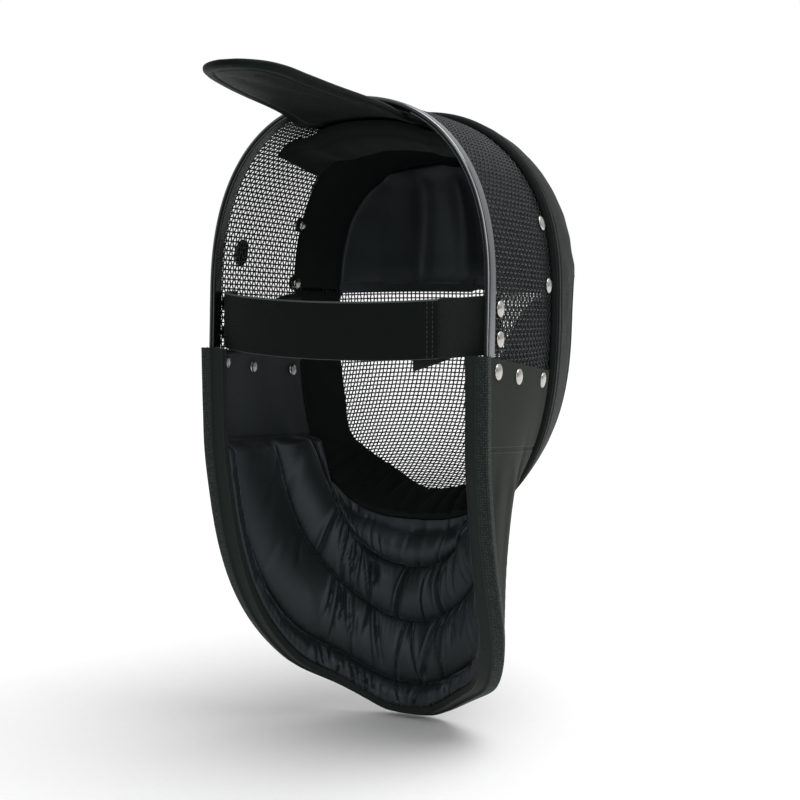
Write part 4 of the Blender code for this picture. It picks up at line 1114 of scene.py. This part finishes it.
def front_leather():
    """Padded leather over brow, temples, cheeks and chin, bound at both its edges."""
    base = cover_grid(201, edge_steps(64, 2.0))
    lengths = walked(base)
    edge = np.minimum(lengths, lengths[-1] - lengths)
    grooves = sum(COVER_GROOVE * bell(edge - reach, COVER_GROOVE) for reach in (COVER_BINDING, COVER_SEAM))
    waves = (ripple(base[..., 0] * 1.3 + base[..., 2], 0.045, 3)
             * ripple(base[..., 1] - base[..., 2], 0.060, 4))
    rise = COVER_THICKNESS * rolled(edge, COVER_ROLL) - grooves
    rise = rise + COVER_WAVES * waves * smooth((edge - 0.010) / 0.02)
    normals = outward(base)
    outer = base + normals * (CLEARANCE + rise)[..., None]
    inner = base + normals * CLEARANCE
    own(thick_sheet("front_leather", outer, inner, wrap=True), ["front_cover"], "leather")
    seams = []
    for walk, face in ((lengths, outer), ((lengths[-1] - lengths)[::-1], outer[::-1])):
        line = [points_at(COVER_SEAM, walk[:, column], face[:, column]) for column in range(len(face[0]))]
        seams.append(np.array(line + line[:1]))
    stitches("cover_stitches", seams, ["front_cover"])


# -------------------------------------------------------------------------- pads
def shell_pad(name, node, base, rest, thickness, finish="knit"):
    """A padded lining: `rest` and `thickness` give its two faces over a base grid."""
    normals = outward(base)
    outer = base + normals * (rest + 0.0 * thickness)[..., None]
    inner = outer - normals * thickness[..., None]
    own(thick_sheet(name, outer, inner), [node], finish)


def crown_cushion():
    """The transverse band inside the crown, bound along its rear edge."""
    along, across = edge_steps(60)[:, None], edge_steps(150)[None, :]
    angles = 90.0 + (CROWN_ARC + CROWN_FLARE * along) * (2.0 * across - 1.0)
    rear = table_curve(CROWN_REAR, np.abs(angles - 90.0))[0]
    base = surface(angles, mix(rear, CROWN_FRONT, along))
    full = mix(CROWN_END, CROWN_THICKNESS, pillow(across, 0.6))
    shape = full * (0.12 + 0.88 * pillow(along, 0.45))
    shape = shape * mix(0.88, 1.0, smooth((along - 0.085) / 0.02))
    sag = 0.0005 * ripple(across * 0.13 + 0.01 * along, 0.030, 11) * pillow(along) * pillow(across)
    shell_pad("crown_cushion", "crown_pad", base, crown_rest(angles),
              np.maximum(shape + sag, PAD_EDGE))


def brow_cushion():
    """The forehead panel: a rounded arch with upright folds and a narrow binding below."""
    low, high = BROW_SECTIONS[0][0], BROW_SECTIONS[-1][0]
    heights = mix(low, high, edge_steps(94, 1.6))[:, None]
    half_angle, thick = table_curve(BROW_SECTIONS, heights)
    share = edge_steps(161)[None, :]
    bearing = np.radians(half_angle * (2.0 * share - 1.0))
    base = cast(stack(0.0, BROW_AXIS, heights), stack(np.sin(bearing), np.cos(bearing), 0.0))
    across, up = pillow(share, 0.55), (heights - low) / (high - low)
    folds = np.zeros_like(bearing)
    for middle, slant, width, depth in BROW_FOLDS:
        away = (bearing - math.radians(middle) - slant * (up - 0.4)) / math.radians(width)
        folds += depth * np.exp(-0.5 * away ** 2)
    gathers = BROW_GATHERS * (1.0 - np.abs(np.sin(bearing * 30.0 + 1.3 * np.sin(bearing * 9.0))))
    near_edge = np.exp(-up / 0.08) + np.exp(-(1.0 - up) / 0.14)
    binding = smooth((up - 0.060) / 0.02)
    body = mix(BROW_END, thick, across) * mix(0.62, 1.0, binding) * smooth(up / 0.02 + 0.35)
    body -= (folds * binding + gathers * near_edge) * across * smooth((1.0 - up) / 0.12)
    shell_pad("brow_cushion", "brow_pad", base, -SHELL_WALL - BROW_CLEARANCE,
              np.maximum(body, PAD_EDGE), "satin")


def temple_lining(side, first, last):
    """A plain lining behind the cover, between two angles."""
    angles, rows = mix(first, last, edge_steps(120, 1.3))[None, :], edge_steps(40)[:, None]
    front = table_curve(TEMPLE_FRONT, np.minimum(angles, 180.0 - angles))[0]
    base = surface(angles, mix(TEMPLE_REAR, front, rows))
    across, along = pillow(edge_steps(120, 1.3), 0.4)[None, :], pillow(rows, 0.4)
    shell_pad("temple_lining_" + side, "temple_pad_" + side, base, INSIDE,
              mix(PAD_EDGE, TEMPLE_THICKNESS, across * along))


def chin_cushion():
    """The lining behind chin and cheeks, gathered where it turns under the chin."""
    columns, rows = edge_steps(300, 1.2)[None, :], edge_steps(40)[:, None]
    angles = mix(CHIN_ANGLE, -180.0 - CHIN_ANGLE, columns)
    base = surface(angles, mix(CHIN_REAR, window_place(angles) - CHIN_INSET, rows))
    lengths = walked(base[len(rows) // 2])
    across, along = pillow(columns, 0.35), pillow(np.maximum(rows, 0.05))
    depth = CHIN_GATHER * smooth((CHIN_GATHER_ARC - np.abs(angles + 90.0)) / 14.0)
    pleats = np.zeros_like(base[..., 0])
    chance = np.random.RandomState(83)
    spot = 0.0
    while spot < lengths[-1]:
        spot += chance.uniform(0.006, 0.015)
        slant = chance.uniform(-0.006, 0.006)
        narrow = chance.uniform(0.0012, 0.0024)
        share = chance.uniform(0.4, 1.0)
        away = lengths[None, :] - spot - slant * (rows - 0.5)
        pleats = np.maximum(pleats, share * np.exp(-np.abs(away) / narrow))
    body = mix(PAD_EDGE, CHIN_THICKNESS, across * along) - depth * pleats * along ** 0.5
    shell_pad("chin_cushion", "chin_pad", base, INSIDE, np.maximum(body, CHIN_LEAST))


# ------------------------------------------------------------------------ tongue
def tongue_leather():
    """The leather-covered spring strip behind the crown, bound round its edge."""
    root, tip = TONGUE_SECTIONS[0][0], TONGUE_SECTIONS[-1][0]
    forward = mix(root, tip, edge_steps(130, 1.7))[:, None]
    squares = [(at, height, half ** 2, curve) for at, height, half, curve in TONGUE_SECTIONS]
    height, square, curve = table_curve(squares, forward)
    half = np.sqrt(np.maximum(square, 1e-8))
    x = half * (2.0 * edge_steps(80, 1.8) - 1.0)[None, :]
    drop = ARCH_HEIGHT * (1.0 - superellipse(np.abs(x) / HALF_WIDTH, ARCH_SQUARE))
    slope = np.gradient(half[:, 0], forward[:, 0])[:, None]
    aside = (half - np.abs(x)) / np.sqrt(1.0 + slope ** 2)
    edge = np.minimum(np.minimum(aside, forward - tip), root - forward + 0.002)
    full = mix(0.9, 1.0, smooth(edge / 0.02)) * TONGUE_THICKNESS
    thick = full * (0.16 + 0.84 * rolled(edge, TONGUE_ROLL))
    groove = TONGUE_GROOVE * bell(edge - TONGUE_SEAM, 0.0009)
    ease = 0.0003 * ripple(x + forward * 0.4, 0.040, 21) * smooth((edge - 0.012) / 0.01)
    middle = stack(x, forward, height - curve * drop - 0.5 * full)
    rise = stack(0.0, 0.0, 0.5 * thick - groove + ease)
    up, down = middle + rise, middle - rise
    own(thick_sheet("tongue_leather", up, down), ["tongue"], "leather")
    seams = []
    right = slice(x.shape[1] // 2, None)
    sewn = (edge.max(axis=1) > TONGUE_SEAM + 0.0005) & (forward[:, 0] < TONGUE_SEWN)
    for face in (up, down):
        inset = []
        for index in np.flatnonzero(sewn):
            reach = np.interp(TONGUE_SEAM, edge[index, right][::-1], x[index, right][::-1])
            inset.append(points_at(reach, x[index], face[index]))
        inset = np.array(inset)
        seams.append(np.concatenate([inset, inset[::-1] * MIRROR]))
    stitches("tongue_stitches", seams, ["tongue"])


# --------------------------------------------------------------------------- bib
CHIN_HEIGHT = float(-section(BIB_FRONT)[2] - NOSE_DROP * BIB_FRONT - CLEARANCE)


def outer_top(forward):
    """Height of the outer cloth's top edge."""
    return BIB_TOP - BIB_TOP_FALL * forward


def lining_top(forward):
    """Height of the lining's top edge, which is level and then rises forward."""
    along = np.maximum(forward - LINING_FLAT, 0.0) / (BIB_FRONT - LINING_FLAT)
    return LINING_TOP + LINING_TOP_RISE * (1.0 - (1.0 - along) ** LINING_TOP_BEND)


def round_share(step):
    """0 down the leg of the bib and 1 at its front centre."""
    return np.clip((step - BIB_LEG_STEPS) / BIB_ARC_STEPS, 0.0, 1.0)


def flat_place(step, share, top):
    """Place on the flat cloth: distance from the front centre and height."""
    length = mix(BIB_SEAM_LENGTH, BIB_LENGTH, share)
    leg = mix(top(mix(BIB_FRONT, BIB_REAR, share)), BIB_SEAM, np.clip(step / BIB_LEG_STEPS, 0.0, 1.0))
    turn = np.radians(90.0 * round_share(step))
    depth = mix(BIB_SEAM - CHIN_HEIGHT, BIB_SEAM - BIB_HEM, share)
    round_length = length * np.maximum(np.cos(turn), 0.0) ** (2.0 / BIB_ROUND)
    from_peak = (round_length - HEM_LIFT_PLACE) / HEM_LIFT_REACH
    lift = HEM_LIFT * share * np.maximum(1.0 - from_peak ** 2, 0.0) ** 2
    round_height = BIB_SEAM - depth * np.sin(turn) ** (2.0 / BIB_ROUND) + lift
    on_leg = step <= BIB_LEG_STEPS
    return np.where(on_leg, length, round_length), np.where(on_leg, leg, round_height)


def curtain(length, height):
    """Layout points of the hanging cloth below the shell, on the wearer's left."""
    half_width, depth, square, rear = (column[..., None] for column in table_curve(BIB_SECTIONS, height))
    turn = np.linspace(0.0, 0.5 * math.pi, 49)
    plan = stack(half_width * np.sin(turn) ** (2.0 / square),
                 rear + depth * np.maximum(np.cos(turn), 0.0) ** (2.0 / square))
    lengths = walked(plan, plan.ndim - 2)
    left = (np.minimum(length / BIB_LENGTH, 1.0) * lengths[..., -1])[..., None]
    low = np.clip((lengths < left).sum(axis=-1, keepdims=True) - 1, 0, len(turn) - 2)
    start, stop = (np.take_along_axis(lengths, number, -1) for number in (low, low + 1))
    part = (left - start) / np.maximum(stop - start, 1e-9)
    ends = [np.take_along_axis(plan, number[..., None], -2)[..., 0, :] for number in (low, low + 1)]
    spot = mix(*ends, part)
    return stack(spot[..., 0], spot[..., 1], height)


def bib_base(step, share, top):
    """Layout points of the bib's base surface on the wearer's left."""
    step, share = np.broadcast_arrays(np.asarray(step, float), np.asarray(share, float))
    length, height = flat_place(step, share, top)
    hanging = curtain(length, height)
    seam_height = flat_place(step, 0.0 * share, top)[1]
    seam = wall_point(BIB_FRONT, np.maximum(seam_height, CHIN_HEIGHT + CLEARANCE))
    free = curtain(*flat_place(step, 0.0 * share + BIB_FREE, top))
    taut = mix(seam, free, (share / BIB_FREE)[..., None])
    taut[..., 2] = height
    eased = mix(taut, hanging, smooth(2.0 * share / BIB_FREE - 1.0)[..., None])
    hanging = np.where((share < BIB_FREE)[..., None], eased, hanging)
    follow = smooth((height - BIB_ON_SHELL[1]) / (BIB_ON_SHELL[0] - BIB_ON_SHELL[1]))
    held = np.maximum(height, CHIN_HEIGHT)
    rear = table_curve(BIB_SECTIONS, height)[3]
    distance = mix(lean(BIB_FRONT, held + NOSE_DROP * BIB_FRONT), rear, share)
    return mix(hanging, wall_point(unlean(distance, held), held), follow[..., None])


def bib_grid(steps, shares, top):
    """Base points, outward normals and ways to the free edge, from rear left round to
    rear right; `shares` gives the rows' shares at each step: an array (rows, steps)."""
    left = bib_base(steps[None, :], shares, top)
    points = np.concatenate([left, left[:, -2::-1] * MIRROR], axis=1)
    wide = np.gradient(points, axis=0)
    out = unit(np.cross(np.gradient(points, axis=1), wide))
    out *= np.sign((out[..., :2] * points[..., :2]).sum(axis=-1))[..., None]
    return points, out, unit(wide)


def bib_steps(leg, arc):
    """Steps from the top edge down a leg and round to the front centre."""
    last = BIB_LEG_STEPS + BIB_ARC_STEPS
    return np.concatenate([np.linspace(0.0, BIB_LEG_STEPS, leg, endpoint=False),
                           np.linspace(BIB_LEG_STEPS, last, arc)])


def line_shares(places, steps):
    """Shares of rows counted in channels: each quilt line swings from side to front."""
    marks = np.array([mix(side, front, smooth(round_share(steps))) for side, front in CHANNELS])
    low = np.clip(places.astype(int), 0, len(CHANNELS) - 2)
    return mix(marks[low], marks[low + 1], (places - low)[:, None])


def on_sides(points):
    """1 at the wearer's sides and 0 in front."""
    return smooth((np.abs(points[..., 0]) - 0.060) / 0.02)


def level_lines(below, points, depths, first_row=0):
    """Lines over both sides of the bib where `below` passes each of some depths."""
    middle = points.shape[1] // 2
    lines = []
    for half in (slice(0, middle), slice(None, middle, -1)):
        for depth in depths:
            lines.append(np.array([
                points_at(depth, row[half], line[half])
                for row, line in zip(below[first_row:], points[first_row:])
                if row[half][-1] > depth > row[half][0]]))
    return lines


def fold_row(run, t, width, seed):
    """Depth of the folds in one channel: dense and sharp beside the front, a few
    broad ones at the front and long soft ones at the sides."""
    chance = np.random.RandomState(seed)
    depth = np.zeros_like(run)
    last = FOLDS[-1][0]
    spot = -last
    while spot < last:
        in_front = abs(spot) < FOLDS[0][0]
        _, spacing, widths, heights = next((kind for kind in FOLDS if abs(spot) < kind[0]), FOLDS[-1])
        spot += chance.uniform(*spacing)
        narrow, high = chance.uniform(*widths), chance.uniform(*heights)
        slant = chance.uniform(-0.30, 0.30)
        # In front each fold runs over the full width of its channel.
        from_top = -0.3 if in_front else chance.uniform(-0.3, 0.4)
        reach = chance.uniform(0.55, 1.2) + (0.7 if in_front else 0.0)
        side = chance.choice([-1.0, 1.0])
        aside = run - spot - slant * (t - 0.5) * width
        span = smooth((t - from_top) / 0.20) * smooth((from_top + reach - t) / 0.28)
        ridge = bell(aside - side * 2.2 * narrow, 1.5 * narrow)
        depth += high * span * (np.exp(-np.abs(aside) / narrow) - 0.5 * ridge)
    return depth


def lining_puckers(run, down, lines, below, at_sides):
    """Depth of the small tucks beside the quilt lines, the hem and the level seam."""
    depth = np.zeros_like(run)
    high, pitch, reach = QUILT_PUCKERS
    for number, line in enumerate(lines, 1):
        walk = run + 0.0012 * ripple(run, 0.017, 30 + number)
        strength = 0.70 + 0.30 * ripple(run, 0.030, 40 + number)
        near = np.exp(-np.abs(down - down[line][None, :]) / reach)
        depth += high * tucks(walk, pitch) ** 1.3 * strength * near
    high, pitch, reach = HEM_PUCKERS
    depth += high * np.exp(-np.abs(down[-1] - down) / reach) * tucks(run, pitch)
    high, pitch, reach = SIDE_PUCKERS
    hanging = tucks(down + 0.0015 * ripple(down, 0.02, 52), pitch) ** 1.2
    return depth + high * at_sides * hanging * np.exp(-np.abs(below) / reach) * (below > 0.0)


def quilted_lining():
    """The satin lining: four puffed channels whose seams gather it into folds."""
    steps = bib_steps(30, 200)
    within = edge_steps(22, 1.7)[:-1]
    places = np.append(np.add.outer(np.arange(4), within), 4.0)
    marks = len(within) * np.arange(5)
    base, out, _ = bib_grid(steps, line_shares(places, steps), lining_top)
    channel = np.clip(places.astype(int), 0, 3)[:, None]
    t = places[:, None] - channel
    run, down = walked(base, 1), walked(base, 0)
    run -= run[:, run.shape[1] // 2][:, None]
    below = LEVEL_SEAM - LEVEL_SEAM_FALL * base[..., 1] - base[..., 2]
    quilted = smooth(below / 0.007)
    # The first channel is a tube beside its quilt line, with a sunken strip before it.
    hollow = 0.22 + 0.05 * ripple(run, 0.05, 71)
    across = np.where(channel == 0, np.clip((t - hollow) / (1.0 - hollow), 0.0, 1.0), t)
    swell = np.array(CHANNEL_PUFF)[channel] * np.sin(math.pi * across) ** 0.62 * quilted
    folds = np.zeros_like(run)
    for number, share in enumerate(CHANNEL_FOLDS):
        width = np.maximum(down[marks[number + 1]] - down[marks[number]], 0.01)[None, :]
        folds += share * (channel == number) * fold_row(run, t, width, 17 + number)
    at_sides = on_sides(base)
    puckers = lining_puckers(run, down, marks[1:4], below, at_sides)
    legs = 0.0004 * ripple(down + 0.2 * run, 0.030, 50) * (1.0 - quilted)
    hem_fill = HEM_FILL * smooth(places - 3.0)[:, None] ** 6 * quilted
    # The cloth is drawn in along the level seam and rolled at its top edge and hem.
    thick = LINING_THIN + swell - (folds + puckers) * quilted + legs + hem_fill
    thick = np.maximum(thick - SEAM_GROOVE * at_sides * bell(below, SEAM_GROOVE), LINING_LEAST)
    thick *= mix(0.35, 1.0, rolled(np.concatenate([steps, steps[-2::-1]])[None, :], 0.25))
    thick *= mix(0.5, 1.0, rolled(down[-1] - down, 0.0035))
    outer = base + out * INSIDE
    inner = outer - out * thick[..., None]
    own(thick_sheet("quilted_lining", outer, inner), ["bib_lining"], "satin")
    seams = [inner[line] for line in marks[1:4]] + level_lines(below, inner, (0.0,))
    stitches("lining_stitches", seams, ["bib_lining"])


def outer_cloth():
    """The heavy outer cloth, over the outside of the shell's sides; also gives its
    length along the hem and longest drop, and the area of one face."""
    steps, rows = bib_steps(24, 120), edge_steps(40)[:, None]
    base, out, _ = bib_grid(steps, np.repeat(rows, len(steps), axis=1), outer_top)
    below = OUTER_SEAM - OUTER_SEAM_FALL * base[..., 1] - base[..., 2]
    slack = 0.0006 * ripple(walked(base, 1) + 0.3 * base[..., 2], 0.055, 61) * pillow(rows)
    lift = slack * smooth(below / 0.03) - 0.0006 * on_sides(base) * bell(below, 0.0012)
    outer = base + out * (CLOTH_GAP + CLOTH + lift)[..., None]
    inner = base + out * (CLOTH_GAP + 0.3 * lift)[..., None]
    piece = own(thick_sheet("outer_cloth", outer, inner), ["bib_outer"], "heavy")
    flat = (float(walked(base[-1])[-1]), float(walked(base, 0)[-1].max()))
    face = sum(polygon.area for polygon in piece.data.polygons) / 2.0
    # One seam below the top edge, one above the hem, and two side by side at a level.
    seams = [outer[2], outer[int(len(rows) * 0.93)]] + level_lines(below, outer, (-0.0018, 0.0018), 2)
    stitches("outer_stitches", seams, ["bib_outer"])
    return piece, flat, face


def border_binding():
    """The wide binding that faces backward round the rear edges and the hem."""
    steps = bib_steps(40, 200)
    shares = np.array([[0.985], [1.0]]) + 0.0 * steps[None, :]
    path, out, wide = (grid[-1] for grid in bib_grid(steps, shares, outer_top))
    profile = rounded([row[:2] for row in BORDER_OUTLINE], [row[2] for row in BORDER_OUTLINE], 4)
    own(sweep("border_binding", path, out, wide, profile), ["bib_border"], "border")


# ------------------------------------------------------------------ strap, rivets
def strap_path(angle, shift):
    """Plan place of a strap's middle plane, `shift` towards the face."""
    reach = HALF_WIDTH + INSIDE - 0.5 * STRAP_THICKNESS
    turn = np.radians(np.clip(angle, -90.0, 90.0))
    normal = unit(stack(-STRAP_BOW * np.sin(turn), reach * np.cos(turn)))
    forward = STRAP_PLACE - STRAP_BOW * np.cos(turn) + normal[..., 1] * shift
    # Past 90 degrees the strap runs forward along the shell.
    forward += np.maximum(np.abs(angle) - 90.0, 0.0) / 90.0 * STRAP_RUN
    return stack(reach * np.sin(turn) + normal[..., 0] * shift, forward)


def strap_centre(angle):
    """Height of the strap's centre line, which sags a little."""
    return STRAP_CENTRE - STRAP_SAG * np.cos(np.radians(np.minimum(np.abs(angle), 90.0))) ** 2


def strap_angles(side, count, last):
    """Angles along a strap from its end at one side."""
    along_shell = np.linspace(180.0 * side, 90.0 * side, 8, endpoint=False)
    return np.concatenate([along_shell, np.linspace(90.0 * side, last, count)])


def flat_strap(name, node, finish, angles, shift, centre):
    """A flat strip on edge along the strap's path, with rounded edges."""
    middle = strap_path(angles, shift)
    along = unit(strap_path(angles + 0.5, shift) - strap_path(angles - 0.5, shift))
    aside = stack(-along[:, 1], along[:, 0])
    rows = edge_steps(34, 2.0)[:, None]
    edge = rolled(np.minimum(rows, 1.0 - rows) * STRAP_HEIGHT, STRAP_ROLL)
    thick = (0.5 * STRAP_THICKNESS * (0.25 + 0.75 * edge))[..., None]
    height = centre[None, :] + (rows - 0.5) * STRAP_HEIGHT
    faces = [stack(*np.moveaxis(middle + way * aside * thick, -1, 0), height) for way in (1.0, -1.0)]
    piece = own(thick_sheet(name, *faces), [node], finish)
    run = float(walked(stack(middle[:, 0], middle[:, 1], centre))[-1])


def straps():
    """The elastic strap, the looped piece it is sewn to and the free tail."""
    across = strap_angles(1.0, 110, STRAP_END)
    flat_strap("elastic_strap", "back_strap", "elastic", across,
               -STRAP_LAP * smooth(-across / 30.0), strap_centre(across))
    short = strap_angles(-1.0, 50, LOOP_END)
    flat_strap("loop_anchor", "strap_anchor", "pile", short, 0.0 * short,
               strap_centre(short))
    tail = np.linspace(TAIL_START, LOOP_END, 24)
    fall = TAIL_FALL * (tail - TAIL_START) / (LOOP_END - TAIL_START)
    flat_strap("loop_tail", "strap_tail", "pile", tail, STRAP_LAP + 0.0 * tail,
               strap_centre(tail) - fall)
    rows = np.linspace(-0.5, 0.5, 30) * (STRAP_HEIGHT - 0.004)
    seams = []
    for angle in STRAP_SEAMS:
        spot = strap_path(angle + 0.0 * rows, -STRAP_LAP - 0.0011)
        seams.append(stack(spot[:, 0], spot[:, 1], strap_centre(angle) + rows))
    stitches("strap_stitches", seams, ["back_strap"])


def rivet_heads():
    """All rivets: an outer and an inner head on each, on both sides."""
    nodes, points, axes, sizes = [], [], [], []
    for name, forward, height, seat_out, seat_in in RIVETS:
        base = wall_point(unlean(forward, height), height)
        normal = outward(base)
        ends = ((seat_out + RIVET_SEAT, 1.0, 1.0), (seat_in - RIVET_SEAT, -1.0, RIVET_INNER))
        for side, flip in (("_left", 1.0), ("_right", MIRROR)):
            nodes.append(name + side)
            for seat, way, size in ends:
                points.append((base + normal * seat) * flip)
                axes.append(normal * flip * way)
                sizes.append(size)
    # The frame's y runs against forward.
    axes = np.array(axes) * [1.0, -1.0, 1.0]
    guide = guide_points("rivet_guide", np.array(points), axes, sizes)
    own(grow("rivet_heads", guide, DOMED_RIVETS, RIVET_SIZES), nodes, "nickel")


def oval_patch():
    """The plain oval patch on the outside of the mesh on the wearer's left."""
    turn = np.linspace(0.0, 2.0 * math.pi, 48, endpoint=False)[None, :]
    reach = np.concatenate([[0.004], 2.0 * edge_steps(24, 1.8)[12:] - 1.0])[:, None]
    forward = PATCH_CENTRE[0] + PATCH_HALF[0] * reach * np.cos(turn)
    height = PATCH_CENTRE[1] + PATCH_HALF[1] * reach * np.sin(turn)
    base = wall_point(unlean(forward, height), height)
    normal = outward(base)
    edge = rolled((1.0 - reach) * 0.0085, 0.0010)
    rise = 0.0004 + 0.0008 * edge - 0.0002 * smooth((0.75 - reach) / 0.1)
    outer = base + normal * (CLEARANCE + rise)[..., None]
    inner = base + normal * CLEARANCE
    own(thick_sheet("oval_patch", outer, inner, wrap=True), ["side_patch"], "patch")


# ------------------------------------------------------------- camera and studio
def stand(thing, azimuth, elevation, distance, target=(0.0, 0.0, 0.0)):
    """Put a camera or a lamp at a distance from a place, and face it."""
    turn, rise = math.radians(azimuth), math.radians(elevation)
    way = Vector((math.sin(turn) * math.cos(rise), -math.cos(turn) * math.cos(rise), math.sin(rise)))
    thing.location = Vector(target) + way * distance
    thing.rotation_euler = way.to_track_quat("Z", "Y").to_euler()


def viewpoint():
    """Camera behind the mask, a little to the wearer's right."""
    camera = new_object("camera", bpy.data.cameras.new("camera"))
    stand(camera, *CAMERA_PLACE, CAMERA_TARGET)
    camera.data.lens = CAMERA_LENS
    camera.data.sensor_width = 36.0
    camera.data.shift_x, camera.data.shift_y = CAMERA_SHIFT
    camera.data.clip_start = 0.05
    bpy.context.scene.camera = camera


def white_room():
    """The camera sees plain white; the object is lit by a white sweep in a dimmer room."""
    world = bpy.data.worlds.new("studio_white")
    world.use_nodes = True
    tree = world.node_tree
    tree.nodes.clear()
    seen = add(tree, "ShaderNodeLightPath", out="Is Camera Ray")
    way = add(tree, "ShaderNodeTexCoord", out="Generated")
    facing = add(tree, "ShaderNodeVectorMath", {0: way, 1: SWEEP}, "Value", operation="DOT_PRODUCT")
    room = add(tree, "ShaderNodeMapRange", {"Value": facing, "From Min": -0.6, "From Max": 0.8,
                                            "To Min": ROOM_LIGHT[0], "To Max": ROOM_LIGHT[1]})
    strength = add(tree, "ShaderNodeMapRange", {"Value": seen, "To Min": room, "To Max": 1.0})
    sky = add(tree, "ShaderNodeBackground", {"Color": (1.0, 1.0, 1.0, 1.0), "Strength": strength})
    add(tree, "ShaderNodeOutputWorld", {"Surface": sky})
    bpy.context.scene.world = world
    bpy.context.scene.view_settings.view_transform = "Standard"


def studio():
    """Camera, white room, plain pale floor and soft lamps."""
    viewpoint()
    white_room()
    corners = np.array([[-6.0, -6.0], [6.0, -6.0], [6.0, 1.1], [-6.0, 1.1]])
    floor_height = CAD_BOX[0][2] - 0.002
    floor = to_mesh("floor", stack(corners[:, 0], corners[:, 1], floor_height), [(0, 1, 2, 3)])
    floor.data.materials.append(backdrop_paper())
    for name, azimuth, elevation, softness, strength in LAMPS:
        lamp = bpy.data.lights.new(name, "SUN")
        lamp.angle = math.radians(softness)
        lamp.energy = strength
        stand(new_object(name, lamp), azimuth, elevation, 2.0)


# ---------------------------------------------------------------------- the mask
studio()
for band in WIRE_BANDS:
    wire_band(*band)
wire_face()
rim_band()
front_leather()
tongue_leather()
crown_cushion()
brow_cushion()
temple_lining("left", *TEMPLE_ANGLES)
temple_lining("right", *(180.0 - angle for angle in TEMPLE_ANGLES))
chin_cushion()
quilted_lining()
cloth, cloth_size, cloth_area = outer_cloth()
border_binding()
straps()
rivet_heads()
oval_patch()
